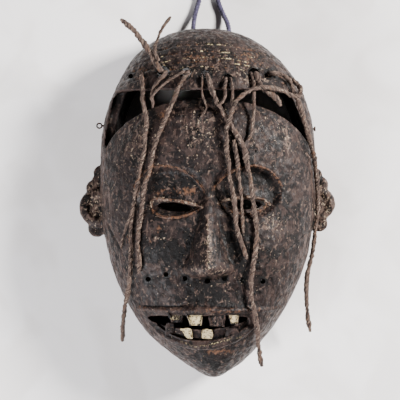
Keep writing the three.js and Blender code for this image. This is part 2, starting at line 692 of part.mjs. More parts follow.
function maskBody() {
  const outside = joined([
    shellSolid(OUTSIDE, OUTER_GRID, [LIP.y - LIP.step, LIP.y], true),
    ...EARS.map(earSolid),
    browSolid(-1),
    browSolid(1),
    ...EYES.flatMap((eye) => [lidSolid(eye, 1), lidSolid(eye, -1)]),
    lipSolid(UPPER_LIP),
    lipSolid(LOWER_LIP),
  ]);
  const carved = outside
    .subtract(shellSolid(HOLLOW, HOLLOW_GRID, [], false))
    .subtract(slotSolid())
    .subtract(joined(EYES.map(slitSolid)))
    .subtract(mouthSolid())
    .subtract(holeSolids());
  const teeth = [
    ...UPPER_TEETH.map((tooth) => toothSolid(tooth, TOOTH.upperRootY)),
    ...LOWER_TEETH.map((tooth) => toothSolid(tooth, TOOTH.lowerRootY)),
  ];
  return carved.add(joined(teeth)).simplify(SLIVER);
}

function cordGeometry(route, radius) {
  const points = route.map((p) => new THREE.Vector3(...p));
  const extrudePath = new THREE.CatmullRomCurve3(points, false, "centripetal");
  const steps = Math.ceil(extrudePath.getLength() / (CORD_STEP * 2 * radius));
  const section = new THREE.Shape().absarc(0, 0, radius, 0, 2 * Math.PI);
  // A full circle is drawn with twice as many sides as curveSegments
  const settings = { steps, extrudePath, curveSegments: CORD_SIDES / 2 };
  return new THREE.ExtrudeGeometry(section, settings);
}

// A pin's shank points into the wall from its head or eye, which stands outside
function pinShank(pin) {
  const side = Math.sign(pin.x);
  const inner = [pin.x - side * PIN.length, pin.y, pin.z];
  return rod(inner, [pin.x + side, pin.y, pin.z], PIN.radius, PIN.sides);
}

function leftPin() {
  const { x, y, z, ring, wire, sunk } = LEFT_PIN;
  const eye = new THREE.TorusGeometry(ring, wire, PIN.sides, 2 * PIN.sides);
  eye.translate(x - sunk - ring - wire, y, z);
  return pinShank(LEFT_PIN).add(solidOf(eye));
}

function rightPin() {
  const { x, y, z, head, thickness, headSides, out } = RIGHT_PIN;
  const disc = rod([x + out, y, z], [x + out + thickness, y, z], head, headSides);
  return pinShank(RIGHT_PIN).add(disc);
}

function meshOf(name, geometry, material) {
  const mesh = new THREE.Mesh(geometry, material);
  mesh.name = name;
  return mesh;
}

const mask = new THREE.Group();
mask.add(meshOf("mask_body", geometryOf(maskBody()), WOOD));
mask.add(meshOf("pin_left", geometryOf(leftPin()), IRON));
mask.add(meshOf("pin_right", geometryOf(rightPin()), IRON));
mask.add(meshOf("hanging_string", cordGeometry(STRING_ROUTE, STRING_RADIUS), STRING));
Object.entries(STRANDS).forEach(([name, { radius, route }]) => {
  mask.add(meshOf(name, cordGeometry(route, radius), FIBRE));
});

export default mask;
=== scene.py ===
# %% [markdown]
# A carved wooden face mask, dark with age and handling. Strands of twisted fibre hang from holes in
# its hood, and a braided string at the crown holds it on a wall. It lies on its flat back rim here,
# and the camera looks straight down on it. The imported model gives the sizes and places; this file
# gives it its carving, its fibres and its finish.

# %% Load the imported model
import math

import bmesh
import bpy
import numpy as np
from mathutils import Matrix, Vector, geometry, noise
from mathutils.bvhtree import BVHTree


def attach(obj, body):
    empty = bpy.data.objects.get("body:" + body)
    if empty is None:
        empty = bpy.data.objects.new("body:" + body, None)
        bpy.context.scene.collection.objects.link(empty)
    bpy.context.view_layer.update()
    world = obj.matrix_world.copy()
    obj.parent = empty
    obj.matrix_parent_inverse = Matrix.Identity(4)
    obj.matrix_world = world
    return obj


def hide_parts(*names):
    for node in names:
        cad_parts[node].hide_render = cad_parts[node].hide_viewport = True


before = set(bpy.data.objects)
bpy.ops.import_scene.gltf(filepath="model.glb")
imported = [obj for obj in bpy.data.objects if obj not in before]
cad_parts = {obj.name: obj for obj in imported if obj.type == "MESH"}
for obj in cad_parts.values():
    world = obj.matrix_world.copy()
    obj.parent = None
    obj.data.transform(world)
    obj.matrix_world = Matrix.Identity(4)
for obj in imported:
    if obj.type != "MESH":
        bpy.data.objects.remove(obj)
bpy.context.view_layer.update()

# %% [markdown]
# The photograph was taken straight on, from a few metres away, with the lens a little to the side
# of the nose. A long lens over the mask gives the same flat, undistorted face.

# %% Camera
OUTLINE_Z = 0.032  # height of the mask's widest edge above its rim
CAMERA_PLACE = (-0.00644, 0.00241, 2.2)
PHOTO_SPAN = 0.32184  # what the photograph's width covers at the height of the outline

camera = bpy.data.objects.new("camera", bpy.data.cameras.new("camera"))
camera.location = CAMERA_PLACE
camera.data.angle = 2 * math.atan(PHOTO_SPAN / 2 / (CAMERA_PLACE[2] - OUTLINE_Z))
bpy.context.scene.collection.objects.link(camera)
bpy.context.scene.camera = camera
print("lens, mm:", round(camera.data.lens, 1))

# %% [markdown]
# The fibre strands are strips of bark, twisted and dried. Each follows the points of its route on
# one smooth line. A ring of vertices is extruded along that line, turning a little at each step, so
# two plies show as a slow twist. Noise along the way gives the knots and thin places of bark.

# %% A smooth line through a cord's points
def smooth_line(points, step):
    """The points of a smooth line through a route, about a step apart."""
    route = [Vector(p) for p in points]
    ends = [route[0] * 2 - route[1], *route, route[-1] * 2 - route[-2]]
    directions = [(after - before).normalized() for before, after in zip(ends, ends[2:])]
    line = [route[0]]
    for i in range(len(route) - 1):
        reach = (route[i + 1] - route[i]).length
        count = max(2, math.ceil(reach / step) + 1)
        handles = (route[i] + directions[i] * reach / 3, route[i + 1] - directions[i + 1] * reach / 3)
        line += geometry.interpolate_bezier(route[i], *handles, route[i + 1], count)[1:]
    return line


def length_of(line):
    return sum((b - a).length for a, b in zip(line, line[1:]))


# %% The frame that a ring of the cord stands in
STRAY_LENGTH = 0.017  # how long a tighter or looser stretch of a twist is


def frames_along(line, turn_length, stray=0):
    """A matrix for each point: its Z axis runs along the line, and X turns once in each turn_length.
    An uneven twist runs ahead or behind by up to stray, a length."""
    frames = []
    side = Vector((1, 0, 0))
    travelled = 0
    for i, point in enumerate(line):
        along = (line[min(i + 1, len(line) - 1)] - line[max(i - 1, 0)]).normalized()
        side = (side - along * side.dot(along)).normalized()
        ahead = stray * noise.noise(Vector((travelled / STRAY_LENGTH, line[0].x * 1e3, 0)))
        turn = Matrix.Rotation(2 * math.pi * (travelled + ahead) / turn_length, 4, along)
        x = turn.to_3x3() @ side
        place = Matrix((x, along.cross(x), along)).transposed().to_4x4()
        place.translation = point
        frames.append(place)
        if i + 1 < len(line):
            travelled += (line[i + 1] - point).length
    return frames


# %% Extrude a cord along its line
SECTION_SIDES = 14


def cord_mesh(name, line, radius, section, swell, turn_length, stray=0):
    """A closed tube: section(angle) shapes the ring, and swell(i) sizes it at each point."""
    frames = frames_along(line, turn_length, stray)
    bm = bmesh.new()
    # How deep the pinch between the two plies is; the bark finish paints shade there.
    groove = bm.verts.layers.float.new("groove")
    fibre = bm.verts.layers.float_vector.new("fibre")
    bmesh.ops.create_circle(bm, segments=SECTION_SIDES, radius=radius)
    for vertex in bm.verts:
        angle = math.atan2(vertex.co.y, vertex.co.x)
        vertex[groove] = 1 - section(angle)
        vertex[fibre] = (math.cos(angle), math.sin(angle), 0)
        vertex.co = vertex.co * section(angle)
    bmesh.ops.transform(bm, matrix=frames[0] @ Matrix.Scale(swell(0), 4), verts=bm.verts)
    ring = bm.edges[:]
    bmesh.ops.contextual_create(bm, geom=ring)
    travelled = 0
    for i in range(1, len(frames)):
        travelled += (line[i] - line[i - 1]).length
        grown = bmesh.ops.extrude_edge_only(bm, edges=ring)["geom"]
        moved = [item for item in grown if isinstance(item, bmesh.types.BMVert)]
        ring = [item for item in grown if isinstance(item, bmesh.types.BMEdge)]
        before = frames[i - 1] @ Matrix.Scale(swell(i - 1), 4)
        after = frames[i] @ Matrix.Scale(swell(i), 4)
        bmesh.ops.transform(bm, matrix=after @ before.inverted(), verts=moved)
        for vertex in moved:
            vertex[fibre] = (*vertex[fibre].xy, travelled)
    bmesh.ops.contextual_create(bm, geom=ring)
    bmesh.ops.recalc_face_normals(bm, faces=bm.faces)
    mesh = bpy.data.meshes.new(name)
    bm.to_mesh(mesh)
    bm.free()
    mesh.shade_smooth()
    return mesh


print("a ring of a cord has", SECTION_SIDES, "sides")

# %% [markdown]
# The routes are the strands as they lie: out through the wall, over the hood's lip, down over the
# forehead and the face. Each name says where the strand hangs, and the radius is that of the strip.

# %% Routes of the fibre strands, in metres
STRANDS = {
    "strand_tuft": (0.002, [
        (-.0374, .1046, .063), (-.0374, .1047, .076), (-.0384, .106, .0825), (-.0404, .1088, .085),
        (-.0426, .113, .086), (-.0454, .1183, .087), (-.0488, .1228, .0876), (-.0522, .1278, .0882),
        (-.0573, .134, .089), (-.0635, .1402, .09), (-.0685, .144, .0905),
    ]),
    "strand_tuft_branch": (0.0012, [
        (-.0388, .1115, .089), (-.0412, .117, .0898), (-.0418, .1225, .09), (-.0401, .1278, .0905),
        (-.0378, .1332, .091), (-.0338, .1402, .091), (-.0293, .1457, .09),
    ]),
    "strand_tuft_tail": (0.0015, [
        (-.0336, .1026, .066), (-.0336, .1026, .0775), (-.0346, .1006, .0834), (-.0385, .0965, .0838),
        (-.0423, .0905, .0834), (-.045, .083, .084),
    ]),
    "strand_long_left": (0.0016, [
        (-.0528, .1022, .056), (-.0528, .1022, .07), (-.0527, .1004, .0756), (-.0522, .096, .0776),
        (-.0514, .088, .0805), (-.051, .079, .084), (-.0495, .072, .086), (-.0485, .061, .0875),
        (-.0495, .053, .088), (-.05, .042, .088), (-.053, .03, .087), (-.0545, .019, .086),
        (-.058, .002, .084), (-.0605, -.02, .0805), (-.061, -.041, .0775), (-.0615, -.053, .075),
        (-.063, -.067, .069), (-.066, -.082, .059), (-.068, -.097, .047), (-.069, -.111, .036),
    ]),
    "strand_long_left_split": (0.0009, [
        (-.0588, -.001, .087), (-.0608, -.009, .086), (-.064, -.017, .082), (-.0665, -.025, .0775),
        (-.069, -.036, .072),
    ]),
    "strand_curl": (0.0012, [
        (-.0191, .103, .071), (-.0192, .103, .082), (-.0206, .1023, .087), (-.024, .1006, .0884),
        (-.028, .0982, .0886), (-.034, .094, .0888), (-.0395, .089, .0888), (-.044, .0834, .0884),
        (-.043, .0792, .087), (-.0433, .0745, .0862),
    ]),
    "strand_inner_left": (0.0016, [
        (-.0156, .103, .069), (-.0156, .103, .08), (-.0166, .1012, .086), (-.0194, .0975, .088),
        (-.022, .093, .0884), (-.024, .089, .089), (-.026, .083, .09), (-.029, .077, .0905),
        (-.034, .065, .091), (-.039, .053, .0912), (-.042, .045, .091), (-.045, .03, .09),
        (-.047, .022, .089), (-.05, .014, .088), (-.052, -.002, .0865), (-.054, -.017, .085),
        (-.055, -.025, .0842), (-.0555, -.033, .0838), (-.0545, -.041, .0832), (-.054, -.049, .082),
        (-.055, -.056, .0795),
    ]),
    "strand_thread": (0.0007, [
        (-.0044, .1008, .072), (-.0044, .1008, .082), (-.0046, .0986, .0872), (-.0048, .093, .089),
        (-.0048, .087, .0896), (-.0025, .078, .0906), (-.0012, .075, .0912), (-.003, .071, .092),
        (-.006, .067, .0924),
    ]),
    "strand_long_middle": (0.0017, [
        (-.001, .1008, .073), (-.001, .1008, .084), (-.0004, .0992, .0892), (.001, .0955, .0906),
        (.0022, .09, .091), (.0045, .085, .0914), (.007, .079, .0922), (.01, .074, .093),
        (.017, .062, .094), (.023, .052, .0942), (.028, .043, .0942), (.0305, .03, .094),
        (.033, .018, .093), (.035, .002, .0916), (.037, -.013, .0908), (.038, -.027, .0908),
        (.036, -.043, .0902), (.034, -.059, .0886), (.034, -.067, .0874), (.034, -.075, .086),
        (.036, -.083, .0845), (.039, -.101, .073), (.04, -.114, .061), (.043, -.13, .049),
    ]),
    "strand_fork_left": (0.0011, [
        (.0139, .098, .073), (.0139, .098, .083), (.0137, .0956, .0884), (.013, .09, .0906),
        (.0134, .085, .0926), (.012, .081, .0948), (.0095, .078, .0966), (.0065, .076, .097),
    ]),
    "strand_fork_right": (0.0011, [
        (.0173, .098, .073), (.0173, .098, .083), (.018, .0954, .088), (.019, .091, .0896),
        (.0192, .086, .0904), (.019, .081, .091), (.0182, .0765, .0914),
    ]),
    "strand_long_right": (0.0016, [
        (.065, .0985, .046), (.065, .0985, .058), (.0664, .0974, .0646), (.0704, .0946, .0664),
        (.0734, .0896, .0676), (.0714, .0846, .0714), (.0655, .085, .075), (.059, .0882, .079),
        (.053, .09, .0834), (.046, .0908, .0888), (.0395, .0906, .0906), (.034, .089, .0908),
        (.029, .086, .0916), (.0245, .0825, .0944), (.021, .0786, .0966), (.0183, .071, .0974),
        (.0159, .064, .0982), (.0143, .058, .0974), (.0146, .048, .0956), (.0142, .042, .0952),
        (.016, .03, .0952), (.0164, .022, .0952), (.019, .01, .095), (.021, -.005, .0946),
        (.0222, -.019, .094), (.026, -.031, .093), (.0305, -.0435, .0924),
    ]),
    "strand_short_right": (0.0014, [
        (.0198, .0495, .0942), (.0212, .042, .0942), (.0224, .035, .0942), (.0242, .018, .0938),
        (.026, .002, .093), (.0266, -.013, .0924), (.0276, -.024, .0918),
    ]),
    "strand_straight": (0.0012, [
        (.0336, .102, .067), (.0336, .102, .077), (.0346, .0996, .0826), (.036, .095, .0842),
        (.036, .087, .086), (.036, .075, .0888), (.035, .063, .0908), (.034, .057, .0914),
        (.033, .0525, .092), (.0308, .0482, .0924),
    ]),
    "strand_stub": (0.002, [
        (.0375, .1016, .064), (.0375, .1016, .0775), (.038, .1004, .083), (.04, .0954, .0842),
        (.0418, .0916, .084), (.0448, .0888, .0834), (.049, .0862, .0822), (.053, .083, .081),
        (.0555, .08, .0802), (.057, .0765, .0796),
    ]),
    "strand_outer_right": (0.0017, [
        (.0485, .102, .062), (.0485, .102, .073), (.0502, .1022, .0774), (.0545, .1026, .076),
        (.0595, .1008, .0714), (.0635, .0976, .0675), (.0666, .092, .0664), (.0684, .087, .0664),
        (.071, .0815, .0662), (.0734, .074, .066), (.076, .066, .0645), (.0806, .05, .0608),
        (.0848, .034, .0556), (.087, .014, .0496), (.0874, -.006, .045), (.086, -.022, .042),
        (.084, -.038, .0386), (.0808, -.052, .0358), (.0795, -.062, .0335), (.0795, -.078, .03),
        (.0805, -.094, .026), (.0825, -.104, .0235),
    ]),
}
STRING_RADIUS = 0.002
STRING_ROUTE = [
    (-.0114, .118, .01), (-.0115, .13, .01), (-.012, .138, .0096), (-.0116, .146, .0062),
    (-.01, .155, .003), (-.0072, .165, .0024), (-.0064, .174, .0024), (-.0055, .182, .0024),
    (-.001, .188, .0024), (.005, .1875, .0024), (.0085, .181, .0024), (.008, .173, .0024),
    (.0086, .164, .0024), (.0125, .154, .003), (.016, .146, .0062), (.0172, .138, .0096),
    (.017, .13, .01), (.017, .118, .01),
]
print(len(STRANDS), "strands")

# %% Thick and thin places
PLY_TURN = 0.016  # a strip of bark turns once in about this length
TURN_STRAY = 0.012  # and it runs ahead or behind by up to this
RING_STEP = 0.0006
BULK = 1.1  # dried bark is a little thicker than the plain cord
PLY_DEPTH = 0.14  # share of the radius lost between the two plies
SLOW_SWELL, SLOW_LENGTH = 0.3, 0.012
KNOT_SWELL, KNOT_LENGTH = 0.28, 0.0032
TIP_SIZE = 0.4


def ply_section(angle):
    """Two plies side by side: full at their backs, pinched between them."""
    return 1 - PLY_DEPTH * (1 - abs(math.cos(angle))) ** 1.5


def bark_swell(line, radius, seed):
    """Thick and thin places along a strip, and a thinner tip."""
    sizes = []
    travelled = 0
    whole = length_of(line)
    for i, point in enumerate(line):
        if i:
            travelled += (point - line[i - 1]).length
        slow = noise.noise(Vector((travelled / SLOW_LENGTH, seed, 0)))
        knot = noise.noise(Vector((travelled / KNOT_LENGTH, seed, 7)))
        tip = max(0, min(1, (whole - travelled) / (3 * radius)))
        size = BULK + SLOW_SWELL * slow + KNOT_SWELL * knot
        sizes.append(size * (TIP_SIZE + (1 - TIP_SIZE) * math.sqrt(tip)))
    return lambda i: sizes[i]


# %% Rough bark
WANDER = [(0.0004, 0.011), (0.0002, 0.004)]  # how far a strip strays from its route, over what length
BARK_ROUGHNESS = 0.4  # share of the radius
BARK_GRAIN = 0.0014


def wander(line, seed):
    """A line that strays a little from its route, as dried bark does."""
    strayed = []
    for i, point in enumerate(line):
        shift = Vector()
        for reach, size in WANDER:
            rows = [Vector((i * RING_STEP / size, seed, size * 1e3 + axis * 5.3)) for axis in range(3)]
            shift += reach * Vector([noise.noise(row) for row in rows])
        strayed.append(point + shift)
    return strayed


def roughen(mesh, reach, size, seed):
    """Push each vertex in or out a little, by noise."""
    for vertex in mesh.vertices:
        push = noise.noise(vertex.co / size + Vector((seed, 0, 0)))
        vertex.co = vertex.co + vertex.normal * reach * push


def add_object(name, mesh):
    piece = bpy.data.objects.new(name, mesh)
    bpy.context.scene.collection.objects.link(piece)
    return piece


print("a strip strays up to", sum(reach for reach, size in WANDER) * 1000, "mm")

# %% Make the strands
strands = []
for seed, (name, (radius, route)) in enumerate(STRANDS.items()):
    line = wander(smooth_line(route, RING_STEP), seed * 2.3)
    swell = bark_swell(line, radius, seed * 3.7)
    mesh = cord_mesh(f"{name}_bark", line, radius, ply_section, swell, PLY_TURN, TURN_STRAY)
    roughen(mesh, BARK_ROUGHNESS * radius, BARK_GRAIN, seed)
    strand = add_object(f"{name}_bark", mesh)
    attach(strand, "root")
    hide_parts(name)
    strands.append(strand)
    print(name, "length, mm:", round(length_of(line) * 1000), "faces:", len(mesh.polygons))

# %% [markdown]
# The string is a round braid. Its strands cross in two directions, so the ring is drawn with four
# small bulges, which turn steadily along the string, and the string swells and thins in beads.

# %% Make the braided string
def braid_section(angle):
    return 1 - 0.1 * (1 - abs(math.cos(2 * angle)))


line = smooth_line(STRING_ROUTE, RING_STEP)
beads = [1 + 0.1 * math.cos(2 * math.pi * i * RING_STEP / 0.0024) for i in range(len(line))]
mesh = cord_mesh("string_braid", line, STRING_RADIUS, braid_section, lambda i: beads[i], 0.0096)
string = add_object("string_braid", mesh)
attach(string, "root")
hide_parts("hanging_string")
print("string length, mm:", round(length_of(line) * 1000))

# %% [markdown]
# The mask is cut from one block of light wood. Its front is half an egg, pointed at the chin, and the
# features are relief on that egg. Here the egg is a formula: for a place on the face it gives the
# height, so a grid of vertices can be laid over the face and each one lifted to its height.

# %% Measures of the block, in metres
HALF_WIDTH = 0.0865
WIDEST_Y = 0.03
WALL = 0.009
FRONT_WALL = 0.0108
CHIN_WALL = 0.0135
RIM_SCALE = 0.93
CROWN_SHIFT = (-0.0026, 0.095, 0.125)
CHIN_SHIFT = (0.0038, 0.105, 0.13)
CROWN_OUTLINE, JAW_OUTLINE, JAW_POINT = 2.2, 2.6, 0.76
CHIN_RADIUS, CHIN_TIP = 0.014, 0.0196
CROWN_PROFILE, JAW_PROFILE, SLICE, SKIRT_CURVE = 2.4, 2.6, 2.3, 1.6
OUTSIDE = {"half_width": HALF_WIDTH, "crown_y": 0.14, "chin_y": -0.14, "front_z": 0.092}
HOLLOW = {
    "half_width": HALF_WIDTH - WALL,
    "crown_y": OUTSIDE["crown_y"] - WALL,
    "chin_y": OUTSIDE["chin_y"] + CHIN_WALL,
    "front_z": OUTSIDE["front_z"] - FRONT_WALL,
}


def smooth(low, high, value):
    """0 below low, 1 above high, and a smooth rise between."""
    t = np.clip((value - low) / (high - low), 0, 1)
    return t * t * (3 - 2 * t)


def bell(distance):
    return np.exp(-distance * distance)


def arc(t, power):
    """A quarter of a superellipse: 1 at t = 0, falling to 0 at t = 1."""
    return (1 - np.minimum(np.abs(t), 1) ** power) ** (1 / power)


# %% The egg's outline and height
def outline_half_width(shell, y):
    up = (y - WIDEST_Y) / (shell["crown_y"] - WIDEST_Y)
    down = np.clip((WIDEST_Y - y) / (WIDEST_Y - shell["chin_y"]), 0, 1)
    above = shell["half_width"] * arc(up, CROWN_OUTLINE)
    narrowing = shell["half_width"] * (1 - down**JAW_OUTLINE) ** JAW_POINT
    tip = np.sqrt(2 * CHIN_RADIUS * np.maximum(y - shell["chin_y"], 0))
    return np.where(y > WIDEST_Y, above, np.maximum(narrowing, np.minimum(tip, CHIN_TIP)))


def middle_x(y):
    crown = CROWN_SHIFT[0] * smooth(CROWN_SHIFT[1], CROWN_SHIFT[2], y)
    return crown + CHIN_SHIFT[0] * smooth(CHIN_SHIFT[1], CHIN_SHIFT[2], -y)


def profile_rise(shell, y):
    """How far the middle of the face stands above the outline."""
    up = (y - WIDEST_Y) / (shell["crown_y"] - WIDEST_Y)
    down = (WIDEST_Y - y) / (WIDEST_Y - shell["chin_y"])
    rise = np.where(y > WIDEST_Y, arc(up, CROWN_PROFILE), arc(down, JAW_PROFILE))
    return (shell["front_z"] - OUTLINE_Z) * rise


def egg_z(x, y):
    across = (x - middle_x(y)) / np.maximum(outline_half_width(OUTSIDE, y), 1e-6)
    return OUTLINE_Z + profile_rise(OUTSIDE, y) * arc(across, SLICE)


print("the forehead stands", OUTSIDE["front_z"], "m above the rim")

# %% [markdown]
# The features: a forehead that is an egg of its own under the hood, the hood's lip, two hollow
# sockets with bulging lids, a long nose with wide wings, full cheeks and the swell of the mouth.

# %% Relief of the large features
ARCH = {"half_width": 0.084, "height": 0.0525, "y": 0.0302, "round_off": 0.006, "round_width": 0.014}
LIP = {"y": 0.0892, "left": -0.07, "right": 0.062, "corner": 0.005, "corner_out": 0.0015, "step": 0.001}
LIP_BAND = {"width": 0.013, "fade": 0.003, "rise": 0.0016}
EYES = [
    {"x": -0.0266, "y": -0.0032, "half_width": 0.015, "open": 0.0034, "tilt": -0.07},
    {"x": 0.0288, "y": -0.0014, "half_width": 0.0145, "open": 0.0035, "tilt": 0},
]
SOCKET = {"x": 0.029, "y": 0.008, "half_width": 0.031, "half_height": 0.022, "depth": 0.006}
LID = {"rise": 0.0045, "half_width": 0.014, "half_height": 0.0075, "margin": 0.0016}
NOSE = {"root_y": 0.006, "base_y": -0.0592, "root_rise": 0.003, "tip_rise": 0.0208, "base_start": 0.85}
NOSE |= {"lift": 0.007}  # how much higher the nose ends at the wings than in the middle
NOSE_WIDTH = {"root": 0.003, "spread": 0.0155, "flare": 1.1, "crest": 1.7, "side": 0.62}
WINGS = {"y": -0.0525, "rise": 0.013, "half_width": 0.0195, "below": 0.0068, "above": 0.014, "roundness": 2}
CHEEK = {"x": 0.045, "y": -0.038, "rise": 0.0025, "width": 0.022}
MUZZLE = {"x": -0.004, "y": -0.093, "rise": 0.007, "width": 0.038, "height": 0.016}


def forehead_relief(x, y):
    reach = np.hypot(x / ARCH["half_width"], np.maximum(y - ARCH["y"], 0) / ARCH["height"])
    inside = (1 - reach) * ARCH["height"]
    fade = smooth(ARCH["y"], ARCH["y"] + 2 * ARCH["round_width"], y)
    low = ARCH["round_off"] * fade * (1 - smooth(0, ARCH["round_width"], inside))
    return np.where(y > LIP["y"] - LIP["step"], 0, -low)


def lip_relief(y):
    from_lip = y - LIP["y"]
    end = LIP_BAND["width"] + LIP_BAND["fade"]
    band = smooth(-LIP["step"], 0, from_lip) * (1 - smooth(LIP_BAND["width"], end, from_lip))
    return LIP_BAND["rise"] * band


def eye_relief(x, y):
    side = (np.abs(x) - SOCKET["x"]) / SOCKET["half_width"]
    reach = np.hypot(side, (y - SOCKET["y"]) / SOCKET["half_height"])
    lids = sum(
        bell(np.hypot((x - eye["x"]) / LID["half_width"], (y - eye["y"]) / LID["half_height"]))
        for eye in EYES
    )
    return LID["rise"] * lids - SOCKET["depth"] * (1 - smooth(0.7, 1, reach))


def nose_relief(x, y):
    low = y - NOSE["lift"] * np.minimum(np.abs(x) / WINGS["half_width"], 1) ** 2
    down = np.clip((NOSE["root_y"] - low) / (NOSE["root_y"] - NOSE["base_y"]), 0, 1)
    rise = NOSE["root_rise"] + (NOSE["tip_rise"] - NOSE["root_rise"]) * down**1.2
    ends = smooth(0, 0.12, down) * arc(np.maximum(down - NOSE["base_start"], 0) / (1 - NOSE["base_start"]), 2)
    half_width = NOSE_WIDTH["root"] + NOSE_WIDTH["spread"] * down ** NOSE_WIDTH["flare"]
    across = np.minimum(np.abs(x) / np.minimum(half_width, WINGS["half_width"]), 1)
    ridge_height = (1 - across ** NOSE_WIDTH["crest"]) ** NOSE_WIDTH["side"]
    height = np.where(y < WINGS["y"], WINGS["below"], WINGS["above"])
    wings = arc(np.hypot(x / WINGS["half_width"], (y - WINGS["y"]) / height), WINGS["roundness"])
    return np.maximum(rise * ridge_height * ends, WINGS["rise"] * wings)


def cheek_relief(x, y):
    cheek = bell(np.hypot(np.abs(x) - CHEEK["x"], y - CHEEK["y"]) / CHEEK["width"])
    across = (x - MUZZLE["x"]) / MUZZLE["width"]
    muzzle = bell(np.hypot(across, (y - MUZZLE["y"]) / MUZZLE["height"]))
    return CHEEK["rise"] * cheek + MUZZLE["rise"] * muzzle


def relief(x, y):
    """The carving over the plain egg, fading out towards the outline."""
    steepness = (egg_z(x, y) - OUTLINE_Z) / (profile_rise(OUTSIDE, y) + 1e-9)
    forms = forehead_relief(x, y) + lip_relief(y) + eye_relief(x, y) + nose_relief(x, y)
    return (forms + cheek_relief(x, y)) * smooth(0.15, 0.6, steepness)


print("tip of the nose, metres:", round(float(egg_z(0, -0.045) + relief(0.0, np.array(-0.045))), 4))

# %% [markdown]
# A square grid becomes the face: its columns crowd towards the outline, where the egg is steep. The
# grid's edge is then drawn down to the back rim, a little smaller, and closed.

# %% Lay a grid over a shell
CENTRE_DENSITY = 0.6
POLE_DENSITY = 0.85


def shell_mesh(name, shell, columns, rows, skirt_rings, back_z, carved):
    """A closed half egg: a grid over the front, a skirt down to the rim, and a flat back."""
    bm = bmesh.new()
    bmesh.ops.create_grid(bm, x_segments=columns, y_segments=rows, size=1)
    across = np.array([v.co.x for v in bm.verts])
    up = np.array([v.co.y for v in bm.verts])
    crown = WIDEST_Y + (shell["crown_y"] - WIDEST_Y) * np.sin(np.maximum(up, 0) * math.pi / 2)
    t = np.maximum(-up, 0)
    turn = (POLE_DENSITY * t + (1 - POLE_DENSITY) * t**3) * math.pi / 2
    jaw = WIDEST_Y - (WIDEST_Y - shell["chin_y"]) * np.sin(turn)
    y = np.where(up > 0, crown, jaw)
    turn = (CENTRE_DENSITY * across + (1 - CENTRE_DENSITY) * across**3) * math.pi / 2
    x = middle_x(y) + outline_half_width(shell, y) * np.sin(turn)
    z = OUTLINE_Z + profile_rise(shell, y) * arc(np.sin(turn), SLICE)
    if carved:
        z = z + relief(x, y)
    for vertex, place in zip(bm.verts, np.stack([x, y, z], axis=1).tolist()):
        vertex.co = place
    bmesh.ops.remove_doubles(bm, verts=bm.verts, dist=1e-6)
    edge = [e for e in bm.edges if e.is_boundary]
    for ring in range(1, skirt_rings + 1):
        before, t = [1 - (1 - RIM_SCALE) * (k / skirt_rings) ** SKIRT_CURVE for k in (ring - 1, ring)]
        grown = bmesh.ops.extrude_edge_only(bm, edges=edge)["geom"]
        moved = [item for item in grown if isinstance(item, bmesh.types.BMVert)]
        edge = [item for item in grown if isinstance(item, bmesh.types.BMEdge)]
        size = t / before
        bmesh.ops.scale(bm, vec=(size, size, 1), verts=moved)
        bmesh.ops.translate(bm, vec=(0, 0, (back_z - OUTLINE_Z) / skirt_rings), verts=moved)
    bmesh.ops.contextual_create(bm, geom=edge)
    bmesh.ops.recalc_face_normals(bm, faces=bm.faces)
    mesh = bpy.data.meshes.new(name)
    bm.to_mesh(mesh)
    bm.free()
    return mesh


mask = add_object("mask_carving", shell_mesh("block", OUTSIDE, 170, 340, 24, 0, True))
hollow = add_object("hollow", shell_mesh("hollow", HOLLOW, 60, 110, 10, -0.002, False))
print("the block has", len(mask.data.polygons), "faces")

# %% [markdown]
# A carver takes away the waste and keeps what stands proud. Both are booleans here: ears and lips are
# joined to the block, and the hollow, the slot under the hood, the eyes and the mouth are cut out.

# %% Join and cut
def settle(piece):
    """Keep what a piece's modifiers make of it as its mesh."""
    graph = bpy.context.evaluated_depsgraph_get()
    finished = bpy.data.meshes.new_from_object(piece.evaluated_get(graph))
    raw = piece.data
    piece.modifiers.clear()
    piece.data = finished
    bpy.data.meshes.remove(raw)


def combine(piece, operation, tools):
    """Join solids to a piece ("UNION"), or cut them from it ("DIFFERENCE")."""
    for tool in tools:
        change = piece.modifiers.new(tool.name, "BOOLEAN")
        change.solver = "MANIFOLD"
        change.operation = operation
        change.object = tool
    settle(piece)
    for tool in tools:
        used = tool.data
        bpy.data.objects.remove(tool)
        bpy.data.meshes.remove(used)
    print(operation.lower(), len(tools), "solids:", len(piece.data.polygons), "faces")


def solid(name, bm):
    """An object from a closed bmesh, with its faces outwards."""
    bmesh.ops.recalc_face_normals(bm, faces=bm.faces)
    mesh = bpy.data.meshes.new(name)
    bm.to_mesh(mesh)
    bm.free()
    return add_object(name, mesh)


# %% Outlines that are pushed through along Z
CUT_TOP_Z = 0.132  # above everything on the face
SLOT_FLOOR_Z = 0.044
ARCH_END = 0.19
SLOT_SIDES = {"left": [(-0.078, 0.072), (-0.0815, 0.055)], "right": [(0.0795, 0.054), (0.074, 0.067), (0.0675, 0.082)]}
MOUTH = {"left": -0.05, "right": 0.034, "top_y": -0.088, "corner_y": -0.09, "lower_y": -0.0995}


def prism(name, outline, low_z, high_z):
    bm = bmesh.new()
    bmesh.ops.create_circle(bm, cap_ends=True, segments=len(outline), radius=1)
    for vertex, (x, y) in zip(bm.verts, outline):
        vertex.co = (x, y, low_z)
    grown = bmesh.ops.extrude_face_region(bm, geom=bm.faces[:])["geom"]
    top = [item for item in grown if isinstance(item, bmesh.types.BMVert)]
    bmesh.ops.translate(bm, vec=(0, 0, high_z - low_z), verts=top)
    return solid(name, bm)


def bezier(points, count):
    """Points of a Bezier curve with three or four corners, without its last one."""
    start, *handles, end = [Vector((x, y, 0)) for x, y in points]
    if len(handles) == 1:
        handles = [start.lerp(handles[0], 2 / 3), end.lerp(handles[0], 2 / 3)]
    curve = geometry.interpolate_bezier(start, *handles, end, count + 1)
    return [(p.x, p.y) for p in curve[:-1]]


